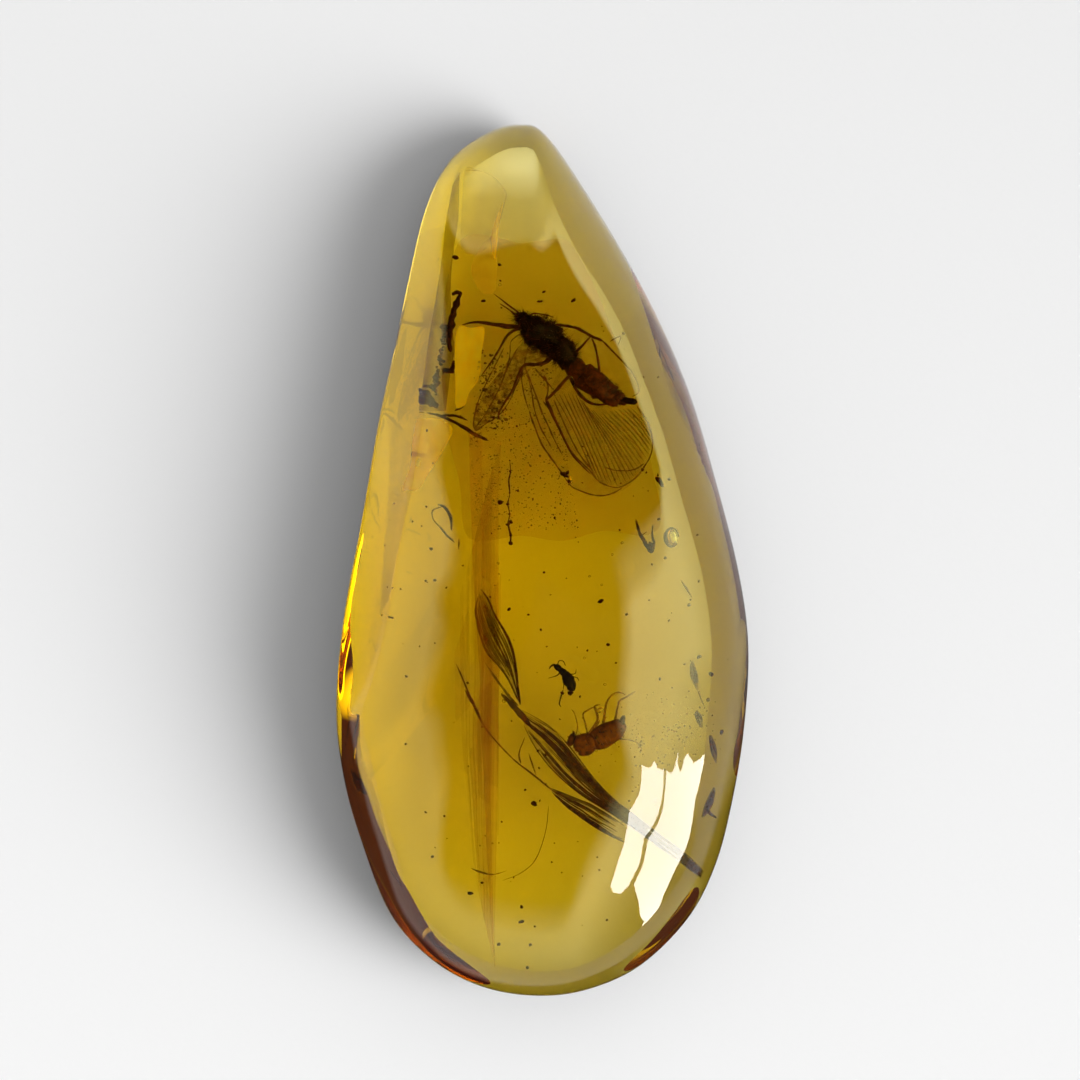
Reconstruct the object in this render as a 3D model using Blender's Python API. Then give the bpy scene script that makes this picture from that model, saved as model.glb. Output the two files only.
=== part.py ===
"""Insect in amber.

A polished, pear-shaped drop of amber that lies on its ground flat, with +Y towards its narrow tip.
A winged insect, two small insects and bits of plant are sealed in it.  The amber is parted in two at
the height of the inclusions, and each inclusion is one solid of its own in a pocket of the two halves.
Sizes are in millimetres and become metres through MM.
"""

import math

import bmesh
import bpy
import numpy as np
from mathutils import Matrix, Vector

MM = 0.001

# The drop of amber
DROP_HEIGHT = 10.0
DROP_CROWN = (0.0, -4.0)       # the highest place of the dome, from above
DOME_FULLNESS = 2.3            # 2 is an ellipse, and more is fuller at the shoulder
DROP_SEGMENTS = 76
DROP_RINGS = 30

# Its outline from above: x, y, height of the widest line, and how far in from it the flat starts
OUTLINE = [
    (0.2, 21.9, 2.2, 1.8),
    (3.0, 17.8, 1.8, 4.2),
    (5.6, 13.2, 1.9, 5.1),
    (7.6, 8.6, 1.9, 4.4),
    (9.0, 3.8, 2.3, 3.4),
    (10.1, -0.7, 2.6, 3.0),
    (10.6, -4.5, 2.5, 2.9),
    (10.4, -8.6, 2.4, 3.15),
    (9.8, -12.2, 2.9, 3.7),
    (8.9, -15.6, 3.3, 3.7),
    (7.5, -18.5, 2.7, 3.45),
    (5.0, -21.0, 2.6, 3.0),
    (2.2, -22.2, 3.0, 2.3),
    (-0.5, -22.5, 3.0, 2.15),
    (-3.3, -22.0, 2.9, 2.7),
    (-5.8, -20.6, 3.0, 3.3),
    (-7.9, -18.2, 3.2, 4.35),
    (-9.4, -14.4, 3.2, 4.2),
    (-10.3, -11.1, 3.2, 3.75),
    (-10.6, -7.5, 4.1, 3.6),
    (-10.2, -2.9, 4.1, 2.4),
    (-9.3, 2.0, 3.9, 2.5),
    (-8.4, 7.2, 3.8, 2.3),
    (-7.6, 11.0, 3.6, 2.1),
    (-6.9, 14.5, 3.3, 1.9),
    (-6.1, 17.9, 3.0, 1.6),
    (-4.9, 20.5, 2.6, 1.3),
    (-3.0, 22.0, 2.3, 1.15),
    (-1.3, 22.5, 2.2, 1.05),
]

# The side facet, ground along the drop from its shoulder to its tip, leaning in by its slope
FACET_FROM = (-9.35, 1.2, 4.7)
FACET_TO = (-6.3, 17.4, 3.4)
FACET_SLOPE = math.radians(56)

# The amber is parted at this height, and the inclusions lie across it
PARTING = 4.8
GAP = 0.3                      # between the halves, and between neighbours that touch
POCKET_SIDES = 12
POCKET_CLEARANCE = 0.35

TUBE_RESOLUTION = 1            # limbs and twigs are six-sided
WELD = 0.0005
WING_THICKNESS = 0.08

COLOURS = {
    "amber": (0.80, 0.47, 0.06),
    "dark_chitin": (0.035, 0.008, 0.004),
    "black_chitin": (0.006, 0.004, 0.003),
    "brown_chitin": (0.20, 0.055, 0.012),
    "plant": (0.15, 0.085, 0.012),
    "bark": (0.045, 0.016, 0.006),
}


def place(x, y, lift=0.0):
    """A point inside the drop, by its height over the parting"""
    return Vector((x, y, PARTING + lift)) * MM


def make_material(name, colour, roughness, transmission=0.0):
    material = bpy.data.materials.new(name)
    material.use_nodes = True
    shader = material.node_tree.nodes["Principled BSDF"]
    shader.inputs["Base Color"].default_value = (*colour, 1.0)
    shader.inputs["Roughness"].default_value = roughness
    shader.inputs["Metallic"].default_value = 0.0
    shader.inputs["Transmission Weight"].default_value = transmission
    material.diffuse_color = (*colour, 1.0)
    return material


def make_object(name, mesh, collection):
    obj = bpy.data.objects.new(name, mesh)
    collection.objects.link(obj)
    return obj


def mesh_from(bm, name):
    mesh = bpy.data.meshes.new(name)
    bm.to_mesh(mesh)
    bm.free()
    return mesh


# ---------------------------------------------------------------- the amber

def closed_spline(rows, steps):
    """Points on a smooth closed curve through the rows (Catmull-Rom)"""
    rows = np.array(rows, float)
    along = np.linspace(0, len(rows), steps, endpoint=False)
    start = np.floor(along).astype(int)
    t = (along - start)[:, None]
    a, b, c, d = [rows[(start + k) % len(rows)] for k in (-1, 0, 1, 2)]
    return 0.5 * (2 * b + (c - a) * t + (2 * a - 5 * b + 4 * c - d) * t ** 2
                  + (3 * b - a - 3 * c + d) * t ** 3)


def drop_point(direction, row):
    """Where the drop's skin is in one direction of the unit sphere, over one place of the outline"""
    x, y, widest, inset = row
    crown = Vector((*DROP_CROWN, 0))
    offset = Vector((x, y, 0)) - crown
    level = math.hypot(direction.x, direction.y)
    if direction.z >= 0:
        out = level ** (2 / DOME_FULLNESS)
        height = widest + (DROP_HEIGHT - widest) * direction.z
    else:
        underside = widest / math.sqrt(1 - (1 - inset / offset.length) ** 2)
        out = level
        height = widest + underside * direction.z
    return crown + offset * out + Vector((0, 0, height))


def cut_plane(bm, point, normal):
    """Cuts off what lies beyond a plane and closes the cut"""
    geometry = bm.verts[:] + bm.edges[:] + bm.faces[:]
    bmesh.ops.bisect_plane(bm, geom=geometry, dist=0.01 * WELD * MM, plane_co=point,
                           plane_no=normal, clear_outer=True)
    bmesh.ops.holes_fill(bm, edges=[edge for edge in bm.edges if edge.is_boundary])


def facet_plane():
    start, end = Vector(FACET_FROM), Vector(FACET_TO)
    outward = Vector((0, 0, 1)).cross(end - start).normalized()
    upward = (end - start).cross(-outward).normalized()
    if upward.z < 0:
        upward.negate()
    return start * MM, outward * math.sin(FACET_SLOPE) + upward * math.cos(FACET_SLOPE)


def drop_mesh():
    """The whole drop: a sphere drawn out to the outline, with its flat and its facet cut"""
    rows = closed_spline(OUTLINE, DROP_SEGMENTS)
    turn = 2 * math.pi / DROP_SEGMENTS
    bm = bmesh.new()
    bmesh.ops.create_uvsphere(bm, u_segments=DROP_SEGMENTS, v_segments=DROP_RINGS, radius=1.0)
    for vert in bm.verts:
        clockwise = round(-math.atan2(vert.co.y, vert.co.x) / turn) % DROP_SEGMENTS
        vert.co = drop_point(vert.co, rows[clockwise]) * MM
    cut_plane(bm, (0, 0, 0), (0, 0, -1))
    cut_plane(bm, *facet_plane())
    return bm


def make_amber_half(name, side, collection, material):
    """One half of the drop, over the parting (side 1) or under it (side -1)"""
    bm = drop_mesh()
    cut_plane(bm, (0, 0, (PARTING + side * GAP / 2) * MM), (0, 0, -side))
    half = make_object(name, mesh_from(bm, name), collection)
    half.data.materials.append(material)
    half.data.shade_smooth()
    half.data.set_sharp_from_angle(angle=math.radians(35))
    return half


def make_pocket(piece, collection):
    """A prism that clears the piece on every side, cut into the halves around it"""
    corners = [piece.matrix_world @ vert.co for vert in piece.data.vertices]
    clearance = POCKET_CLEARANCE * MM
    turn = 2 * math.pi / POCKET_SIDES
    normals = [Vector((math.cos(k * turn), math.sin(k * turn), 0)) for k in range(POCKET_SIDES)]
    reaches = [max(corner.dot(normal) for corner in corners) + clearance for normal in normals]
    bottom = min(corner.z for corner in corners) - clearance
    top = max(corner.z for corner in corners) + clearance
    ring = []
    for k in range(POCKET_SIDES):
        near, far = reaches[k], reaches[(k + 1) % POCKET_SIDES]
        along = (far - near * math.cos(turn)) / math.sin(turn)
        side = Vector((-normals[k].y, normals[k].x, 0))
        ring.append(normals[k] * near + side * along)
    bm = bmesh.new()
    floor = bm.faces.new([bm.verts.new((corner.x, corner.y, bottom)) for corner in ring])
    floor.normal_flip()
    walls = bmesh.ops.extrude_face_region(bm, geom=[floor])["geom"]
    raised = [item for item in walls if isinstance(item, bmesh.types.BMVert)]
    bmesh.ops.translate(bm, verts=raised, vec=(0, 0, top - bottom))
    bmesh.ops.recalc_face_normals(bm, faces=bm.faces[:])
    cutter = make_object(piece.name + "_pocket", mesh_from(bm, piece.name + "_pocket"), collection)
    cutter.hide_render = True
    cutter.display_type = "WIRE"
    return cutter


def cut_out(target, cutter):
    cut = target.modifiers.new(cutter.name, "BOOLEAN")
    cut.operation = "DIFFERENCE"
    cut.solver = "EXACT"
    cut.object = cutter


# ------------------------------------------------- shapes for the inclusions

def blob(centre, size, turn=0.0, tilt=0.0):
    """An egg-like body: centre and full sizes in mm, its long side turned from +X and tilted up"""
    bm = bmesh.new()
    bmesh.ops.create_uvsphere(bm, u_segments=12, v_segments=8, radius=0.5)
    turned = Matrix.Rotation(math.radians(turn), 4, "Z") @ Matrix.Rotation(math.radians(-tilt), 4, "Y")
    lying = Matrix.Rotation(math.radians(90), 4, "Y")
    sized = Matrix.Diagonal((*[value * MM for value in size], 1))
    bm.transform(Matrix.Translation(place(*centre)) @ turned @ sized @ lying)
    return mesh_from(bm, "blob")


def curve_mesh(curve):
    """A curve made a closed mesh, with its caps welded on"""
    guide = bpy.data.objects.new("guide", curve)
    bpy.context.scene.collection.objects.link(guide)
    evaluated = guide.evaluated_get(bpy.context.evaluated_depsgraph_get())
    mesh = bpy.data.meshes.new_from_object(evaluated)
    bpy.data.objects.remove(guide)
    bm = bmesh.new()
    bm.from_mesh(mesh)
    bmesh.ops.remove_doubles(bm, verts=bm.verts[:], dist=WELD * MM)
    bmesh.ops.recalc_face_normals(bm, faces=bm.faces[:])
    bm.to_mesh(mesh)
    bm.free()
    return mesh


def limb(points, thickness, end_thickness=None):
    """A tapering round limb along the points (x, y, lift), in mm"""
    curve = bpy.data.curves.new("limb", "CURVE")
    curve.dimensions = "3D"
    curve.bevel_depth = thickness / 2 * MM
    curve.bevel_resolution = TUBE_RESOLUTION
    curve.use_fill_caps = True
    spline = curve.splines.new("POLY")
    spline.points.add(len(points) - 1)
    taper = (end_thickness or thickness) / thickness
    for k, (target, point) in enumerate(zip(spline.points, points)):
        target.co = (*place(*point), 1)
        target.radius = 1 + (taper - 1) * k / (len(points) - 1)
    return curve_mesh(curve)


def plate(points, lift, thickness):
    """A flat piece with a smooth outline through the points (x, y), in mm"""
    curve = bpy.data.curves.new("plate", "CURVE")
    curve.dimensions = "2D"
    curve.fill_mode = "BOTH"
    curve.extrude = thickness / 2 * MM
    curve.resolution_u = 3
    spline = curve.splines.new("BEZIER")
    spline.bezier_points.add(len(points) - 1)
    spline.use_cyclic_u = True
    for target, (x, y) in zip(spline.bezier_points, points):
        target.co = (x * MM, y * MM, 0)
        target.handle_left_type = target.handle_right_type = "AUTO"
    mesh = curve_mesh(curve)
    mesh.transform(Matrix.Translation(place(0, 0, lift)))
    return mesh


def blade(stations, thickness):
    """A twisting strip: stations of x, y, lift, width in mm and the twist in degrees"""
    bm = bmesh.new()
    centres = [place(*station[:3]) for station in stations]
    rings = []
    for k, (x, y, lift, width, twist) in enumerate(stations):
        along = (centres[min(k + 1, len(centres) - 1)] - centres[max(k - 1, 0)]).normalized()
        across = Vector((0, 0, 1)).cross(along).normalized()
        across.rotate(Matrix.Rotation(math.radians(twist), 3, along))
        over = along.cross(across)
        wide, thick = across * width / 2 * MM, over * thickness / 2 * MM
        corners = [wide, wide * 0.5 + thick, -wide * 0.5 + thick, -wide,
                   -wide * 0.5 - thick, wide * 0.5 - thick]
        rings.append([bm.verts.new(centres[k] + corner) for corner in corners])
    for near, far in zip(rings, rings[1:]):
        for i in range(len(near)):
            j = (i + 1) % len(near)
            bm.faces.new((near[i], near[j], far[j], far[i]))
    bm.faces.new(rings[0])
    bm.faces.new(rings[-1])
    bmesh.ops.recalc_face_normals(bm, faces=bm.faces[:])
    return mesh_from(bm, "blade")


def fuse(name, meshes, collection, material):
    """One solid from several overlapping ones, by Boolean union"""
    base = make_object(name, meshes[0], collection)
    for mesh in meshes[1:]:
        other = bpy.data.objects.new("joined", mesh)
        bpy.context.scene.collection.objects.link(other)
        union = base.modifiers.new("union", "BOOLEAN")
        union.operation = "UNION"
        union.solver = "EXACT"
        union.object = other
        evaluated = base.evaluated_get(bpy.context.evaluated_depsgraph_get())
        base.data = bpy.data.meshes.new_from_object(evaluated)
        base.modifiers.clear()
        bpy.data.objects.remove(other)
    base.data.name = name
    base.data.materials.clear()
    base.data.materials.append(material)
    base.data.shade_smooth()
    base.data.set_sharp_from_angle(angle=math.radians(50))
    return base


# ----------------------------------------------------------- the inclusions

def make_winged_insect(collection, material):
    """Head at the upper left, abdomen to the lower right, with four wings spread under it"""
    body = [
        blob((-0.92, 11.80, 0.05), (0.75, 0.65, 0.6), turn=-45),
        blob((-0.20, 11.05, 0.05), (2.2, 1.45, 1.2), turn=-53),
        blob((0.62, 10.05, 0.0), (2.3, 1.35, 1.15), turn=-52),
        blob((1.25, 9.25, 0.0), (1.7, 0.85, 0.85), turn=-45),
        blob((2.25, 8.52, -0.05), (3.1, 1.3, 1.0), turn=-38),
        limb([(3.0, 7.95, -0.05), (3.5, 7.72, -0.05), (4.1, 7.68, -0.05)], 0.42, 0.38),
    ]
    antennae = [
        limb([(-0.9, 11.9, 0.15), (-1.61, 12.53, 0.25), (-2.37, 13.14, 0.3)], 0.12, 0.08),
        limb([(-1.0, 11.8, 0.2), (-1.68, 12.38, 0.1), (-2.09, 12.65, 0.0)], 0.12, 0.08),
    ]
    legs = [
        limb([(-0.7, 11.5, 0.0), (-1.61, 11.5, 0.1), (-3.14, 11.77, 0.2), (-3.66, 11.62, 0.2)], 0.24, 0.1),
        limb([(-0.7, 11.5, -0.2), (-1.61, 11.16, -0.1), (-2.23, 10.12, 0.0), (-2.83, 9.05, 0.0)],
             0.13, 0.09),
        limb([(0.0, 9.95, -0.2), (-0.87, 9.6, -0.1), (-1.12, 9.28, 0.0), (-1.5, 8.29, 0.1),
              (-2.06, 7.3, 0.1), (-2.06, 6.92, 0.1)], 0.15, 0.1),
        limb([(0.9, 9.1, -0.2), (-0.1, 7.83, 0.2), (0.35, 6.69, 0.25), (0.84, 5.62, 0.25),
              (1.26, 4.93, 0.2), (2.03, 4.09, 0.15)], 0.15, 0.1),
        limb([(0.1, 11.6, 0.1), (1.12, 11.42, 0.2), (1.89, 11.03, 0.2), (2.52, 10.77, 0.2),
              (3.22, 10.05, 0.25), (3.88, 9.36, 0.25)], 0.14, 0.08),
        limb([(1.1, 10.2, 0.0), (1.89, 10.98, 0.2), (2.13, 10.43, 0.15), (2.31, 9.2, 0.1), (2.3, 8.8, 0.05)],
             0.13, 0.1),
        limb([(0.84, 8.95, -0.2), (1.4, 7.99, -0.2), (1.96, 7.53, -0.2), (2.73, 7.53, -0.2)], 0.14, 0.12),
    ]
    wings = [
        plate([(0.5, 9.4), (0.21, 6.92), (0.84, 5.62), (1.33, 4.85), (2.1, 4.01), (3.01, 3.44),
               (3.75, 3.59), (4.4, 4.24), (4.74, 5.16), (4.82, 6.0), (4.56, 6.76), (4.09, 7.55),
               (3.01, 8.3), (1.61, 9.3)], -0.15, WING_THICKNESS),
        plate([(0.4, 9.7), (-0.49, 9.4), (-0.77, 7.83), (-0.21, 6.15), (0.35, 4.62), (0.84, 3.86),
               (1.61, 3.25), (2.52, 3.01), (3.36, 3.21), (4.06, 3.86), (4.3, 5.0), (3.4, 6.6),
               (1.9, 8.4)], -0.32, WING_THICKNESS),
        plate([(0.1, 10.3), (-0.6, 10.95), (-1.1, 10.6), (-1.88, 9.51), (-2.65, 8.29), (-3.04, 6.92),
               (-2.93, 6.34), (-2.37, 6.92), (-1.75, 7.76), (-1.05, 8.9)], -0.05, WING_THICKNESS),
        plate([(0.3, 11.2), (1.2, 11.3), (2.52, 10.72), (3.88, 9.3), (4.27, 8.3), (3.9, 7.95),
               (2.9, 8.3), (1.2, 9.6)], 0.12, WING_THICKNESS),
    ]
    return fuse("winged_insect", body + legs + antennae + wings, collection, material)


def make_black_insect(collection, material):
    """A tiny black insect with a narrow waist and bent legs"""
    body = [
        blob((0.69, -5.43, 0.05), (0.34, 0.26, 0.26), turn=-35),
        blob((0.92, -5.62, 0.0), (0.46, 0.26, 0.28), turn=-45),
        blob((1.22, -6.1, -0.02), (0.75, 0.40, 0.4), turn=-62),
        limb([(0.95, -5.65, 0.0), (1.12, -5.9, 0.0)], 0.14),
    ]
    limbs = [
        limb([(0.66, -5.4, 0.05), (0.43, -5.3, 0.1), (0.27, -5.48, 0.1)], 0.09, 0.07),
        limb([(0.72, -5.4, 0.05), (0.72, -5.12, 0.1), (0.88, -5.1, 0.15), (1.07, -5.34, 0.1)], 0.07, 0.06),
        limb([(0.85, -5.6, -0.05), (0.68, -5.79, 0.0), (0.46, -5.88, -0.1), (0.22, -5.95, -0.2)], 0.07, 0.06),
        limb([(1.0, -5.75, -0.05), (0.98, -6.35, 0.1), (0.83, -6.74, 0.0), (0.75, -7.19, -0.1),
              (0.81, -7.32, -0.15)], 0.09, 0.07),
        limb([(1.02, -5.72, -0.05), (1.46, -5.74, 0.1), (1.52, -5.5, -0.1)], 0.07, 0.06),
        limb([(1.05, -5.8, -0.05), (1.55, -5.92, 0.1), (1.64, -6.1, -0.1)], 0.07, 0.06),
    ]
    return fuse("black_insect", body + limbs, collection, material)


def make_brown_insect(collection, material):
    """A stout brown insect on its side, its back down to the lower left and its legs in the air"""
    body = [
        blob((1.32, -8.95, 0.0), (0.75, 0.42, 0.5), turn=72),
        blob((1.95, -9.15, 0.0), (1.15, 1.05, 0.85), turn=30),
        blob((2.0, -9.5, -0.05), (0.8, 0.5, 0.6), turn=20),
        blob((2.88, -8.72, -0.02), (1.9, 1.02, 0.8), turn=30),
        blob((3.55, -8.1, 0.0), (0.55, 0.28, 0.3), turn=75),
    ]
    limbs = [
        limb([(2.0, -8.9, 0.1), (2.54, -7.95, 0.2), (2.45, -7.5, 0.15), (2.38, -7.35, 0.1), (2.6, -7.25, 0.05)],
             0.14, 0.09),
        limb([(2.7, -8.5, 0.15), (2.82, -7.68, 0.25), (2.89, -7.19, 0.25), (3.12, -6.81, 0.2),
              (3.44, -6.67, 0.1), (3.73, -6.81, 0.0)], 0.13, 0.09),
        limb([(3.1, -8.4, 0.0), (3.34, -7.54, -0.1), (3.44, -7.12, -0.15), (3.73, -6.91, -0.2),
              (4.14, -6.63, -0.25)], 0.13, 0.08),
        limb([(2.1, -8.8, -0.1), (1.89, -7.7, -0.2), (2.09, -7.47, -0.2), (2.36, -7.36, -0.2)], 0.1, 0.08),
        limb([(1.5, -8.8, 0.1), (1.6, -8.25, 0.15), (1.46, -7.65, 0.1), (1.32, -7.47, 0.1)], 0.09, 0.07),
        limb([(1.75, -9.1, 0.0), (1.4, -9.05, 0.0)], 0.3, 0.25),
    ]
    return fuse("brown_insect", body + limbs, collection, material)


def make_plant_strip(collection, material):
    """A leaf strip twisted to a neck in its middle, where a short stalk leaves it"""
    upper = blade([(-2.97, -1.75, 0.35, 0.3, 10), (-2.72, -2.7, 0.25, 0.75, 18), (-2.35, -3.7, 0.15, 1.05, 25),
                   (-1.9, -4.9, 0.05, 0.95, 40), (-1.45, -6.1, 0.0, 0.6, 60), (-1.1, -7.2, 0.0, 0.35, 75),
                   (-0.95, -7.7, 0.0, 0.4, 60)], 0.18)
    lower = blade([(-1.05, -7.4, 0.0, 0.35, 60), (-0.6, -8.15, 0.0, 0.8, 30), (0.15, -9.1, -0.05, 1.25, 12),
                   (1.15, -10.2, -0.05, 1.3, 4), (2.25, -11.2, 0.0, 1.15, -6), (3.5, -12.3, 0.0, 0.9, -14),
                   (5.2, -13.75, -0.05, 0.75, -20), (6.5, -14.9, -0.1, 0.6, -12), (7.55, -15.8, -0.1, 0.25, 0)],
                  0.2)
    stalk = limb([(-1.97, -6.7, 0.1), (-1.52, -7.24, 0.1), (-0.8, -7.95, 0.0)], 0.26, 0.3)
    return fuse("plant_strip", [lower, upper, stalk], collection, material)


def make_splinter(collection, material):
    blades = blade([(0.38, -11.38, -0.1, 0.14, 0), (1.35, -12.05, -0.05, 0.42, 15), (2.6, -12.95, 0.0, 0.5, 5),
                    (3.85, -13.8, 0.0, 0.4, -10)], 0.16)
    return fuse("plant_splinter", [blades], collection, material)


def make_bark_stick(collection, material):
    stick = limb([(-4.05, 13.2, 0.1), (-3.78, 13.22, 0.15), (-3.97, 12.54, 0.1), (-4.07, 11.6, 0.0),
                  (-4.12, 10.78, 0.0), (-4.03, 10.3, 0.05)], 0.26, 0.2)
    return fuse("bark_stick", [stick], collection, material)


def make_bark_crumb(collection, material):
    crumb = blob((-4.15, 9.37, 0.05), (0.55, 0.24, 0.3), turn=-8)
    spur = limb([(-4.02, 9.35, 0.05), (-3.9, 9.85, 0.1)], 0.2, 0.1)
    return fuse("bark_crumb", [crumb, spur], collection, material)


def make_bark_chip(collection, material):
    chip = plate([(-5.2, 8.6), (-4.95, 8.2), (-4.68, 7.68), (-4.95, 7.55), (-5.25, 7.6)], 0.0, 0.4)
    return fuse("bark_chip", [chip], collection, material)


def make_twig(collection, material):
    stem = limb([(-5.2, 7.25, 0.1), (-4.54, 7.09, 0.05), (-3.71, 6.67, 0.0), (-2.99, 6.18, 0.0),
                 (-2.45, 5.85, 0.0)], 0.16, 0.2)
    branch = limb([(-4.54, 7.09, 0.05), (-3.85, 7.1, 0.1), (-3.3, 6.86, 0.1)], 0.14, 0.16)
    return fuse("twig", [stem, branch], collection, material)


def make_curl(collection, material):
    """A curled shred of skin or hair"""
    outer = limb([(-4.75, 2.66, 0.1), (-4.5, 2.57, 0.1), (-4.28, 2.31, 0.1), (-4.14, 1.88, 0.05),
                  (-4.12, 1.36, 0.0)], 0.1, 0.16)
    inner = limb([(-4.5, 2.57, 0.1), (-4.95, 2.3, 0.0), (-4.75, 1.75, -0.1), (-4.46, 1.23, -0.1),
                  (-3.97, 0.76, -0.1)], 0.12, 0.12)
    return fuse("curled_shred", [outer, inner], collection, material)


def make_forked_shred(collection, material):
    left = limb([(4.09, 1.83, 0.1), (4.35, 0.99, 0.05), (4.62, 0.5, 0.0), (4.83, 0.15, 0.0)], 0.14, 0.24)
    right = limb([(4.88, 1.55, 0.1), (4.86, 0.99, 0.05), (4.92, 0.57, 0.0), (4.83, 0.15, 0.0)], 0.14, 0.24)
    web = blob((4.8, 0.5, 0.0), (0.5, 0.34, 0.2), turn=-75)
    return fuse("forked_shred", [left, right, web], collection, material)


def make_seed(collection, material):
    seed = plate([(5.08, 3.98), (5.3, 3.75), (5.46, 3.48), (5.1, 3.52)], 0.0, 0.26)
    return fuse("seed_crumb", [seed], collection, material)


def make_leaf_flake(name, points, width, collection, material):
    """A thin leaf flake along three points, widest in the middle"""
    ends = (0.35, 1.0, 0.6)
    stations = [(*point, width * end, 12) for point, end in zip(points, ends)]
    return fuse(name, [blade(stations, 0.16)], collection, material)


# The flakes near the right side: their points (x, y, lift) and their widths
LEAF_FLAKES = [
    ([(6.76, -5.1, 0.1), (6.86, -5.85, 0.0), (7.05, -6.6, -0.1)], 0.36),
    ([(6.98, -7.6, 0.1), (7.12, -8.05, 0.0), (7.27, -8.5, -0.1)], 0.36),
    ([(7.74, -8.85, 0.1), (7.93, -9.6, 0.0), (8.12, -10.3, -0.1)], 0.4),
    ([(8.05, -11.5, 0.1), (7.75, -12.3, 0.0), (7.35, -12.95, -0.1)], 0.5),
]


def main():
    for obj in list(bpy.data.objects):
        bpy.data.objects.remove(obj)
    parts = bpy.data.collections.new("insect_in_amber")
    cutters = bpy.data.collections.new("pockets")
    for collection in (parts, cutters):
        bpy.context.scene.collection.children.link(collection)

    amber = make_material("amber", COLOURS["amber"], 0.02, transmission=1.0)
    dark = make_material("dark_chitin", COLOURS["dark_chitin"], 0.4)
    black = make_material("black_chitin", COLOURS["black_chitin"], 0.35)
    brown = make_material("brown_chitin", COLOURS["brown_chitin"], 0.4)
    plant = make_material("plant", COLOURS["plant"], 0.6)
    bark = make_material("bark", COLOURS["bark"], 0.8)

    inclusions = [
        make_winged_insect(parts, dark),
        make_black_insect(parts, black),
        make_brown_insect(parts, brown),
        make_plant_strip(parts, plant),
        make_splinter(parts, plant),
        make_bark_stick(parts, bark),
        make_bark_crumb(parts, bark),
        make_bark_chip(parts, bark),
        make_twig(parts, bark),
        make_curl(parts, bark),
        make_forked_shred(parts, bark),
        make_seed(parts, bark),
    ]
    for number, (points, width) in enumerate(LEAF_FLAKES, 1):
        inclusions.append(make_leaf_flake(f"leaf_flake_{number}", points, width, parts, plant))

    halves = [make_amber_half("amber_front", 1, parts, amber),
              make_amber_half("amber_back", -1, parts, amber)]
    for inclusion in inclusions:
        pocket = make_pocket(inclusion, cutters)
        for half in halves:
            cut_out(half, pocket)


main()
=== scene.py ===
import math

import bmesh
import bpy
import numpy as np
from bpy.props import FloatProperty, FloatVectorProperty, IntProperty, PointerProperty
from mathutils import Matrix, Vector, noise
from mathutils.geometry import delaunay_2d_cdt


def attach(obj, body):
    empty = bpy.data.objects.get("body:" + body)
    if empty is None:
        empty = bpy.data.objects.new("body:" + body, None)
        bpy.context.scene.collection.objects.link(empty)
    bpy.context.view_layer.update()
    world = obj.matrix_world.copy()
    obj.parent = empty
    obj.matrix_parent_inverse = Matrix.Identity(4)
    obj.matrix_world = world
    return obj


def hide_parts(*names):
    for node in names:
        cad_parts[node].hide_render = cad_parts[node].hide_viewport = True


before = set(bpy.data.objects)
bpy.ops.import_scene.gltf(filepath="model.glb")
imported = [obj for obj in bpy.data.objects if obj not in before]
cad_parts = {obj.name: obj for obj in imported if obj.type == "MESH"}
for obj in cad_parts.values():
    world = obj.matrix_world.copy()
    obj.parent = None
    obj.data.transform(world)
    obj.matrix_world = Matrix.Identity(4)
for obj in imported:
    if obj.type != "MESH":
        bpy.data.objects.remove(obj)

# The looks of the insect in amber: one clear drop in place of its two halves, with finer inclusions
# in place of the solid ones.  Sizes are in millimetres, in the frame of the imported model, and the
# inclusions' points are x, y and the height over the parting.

bl_info = {
    "name": "Insect in Amber",
    "version": (1, 0, 0),
    "blender": (4, 5, 0),
    "location": "View3D > Sidebar > Amber",
    "description": "A polished drop of amber with insects and plant remains in it",
    "category": "Add Mesh",
}

MM = 0.001
PARTING = 4.8

# The drop, as the CAD has it: x, y, height of the widest line, and how far in from it the flat starts
OUTLINE = [
    (0.2, 21.9, 2.2, 1.8), (3.0, 17.8, 1.8, 4.2), (5.6, 13.2, 1.9, 5.1), (7.6, 8.6, 1.9, 4.4),
    (9.0, 3.8, 2.3, 3.4), (10.1, -0.7, 2.6, 3.0), (10.6, -4.5, 2.5, 2.9), (10.4, -8.6, 2.4, 3.15),
    (9.8, -12.2, 2.9, 3.7), (8.9, -15.6, 3.3, 3.7), (7.5, -18.5, 2.7, 3.45), (5.0, -21.0, 2.6, 3.0),
    (2.2, -22.2, 3.0, 2.3), (-0.5, -22.5, 3.0, 2.15), (-3.3, -22.0, 2.9, 2.7), (-5.8, -20.6, 3.0, 3.3),
    (-7.9, -18.2, 3.2, 4.35), (-9.4, -14.4, 3.2, 4.2), (-10.3, -11.1, 3.2, 3.75), (-10.6, -7.5, 4.1, 3.6),
    (-10.2, -2.9, 4.1, 2.4), (-9.3, 2.0, 3.9, 2.5), (-8.4, 7.2, 3.8, 2.3), (-7.6, 11.0, 3.6, 2.1),
    (-6.9, 14.5, 3.3, 1.9), (-6.1, 17.9, 3.0, 1.6), (-4.9, 20.5, 2.6, 1.3), (-3.0, 22.0, 2.3, 1.15),
    (-1.3, 22.5, 2.2, 1.05),
]
CROWN = (0.0, -4.0)
DROP_HEIGHT = 10.0
DOME_FULLNESS = 2.3
FACET_FROM = (-9.35, 1.2, 4.7)
FACET_TO = (-6.3, 17.4, 3.4)
FACET_SLOPE = math.radians(56)
FACET_EDGE = 0.012             # how round the facet's polished edge is
DROP_GRID = 110                # squares along each side of the cube that the drop is drawn from
DROP_SHARP = math.radians(20)  # edges of the drop that turn more than this stay sharp
PIECE_SHARP = math.radians(60)
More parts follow.
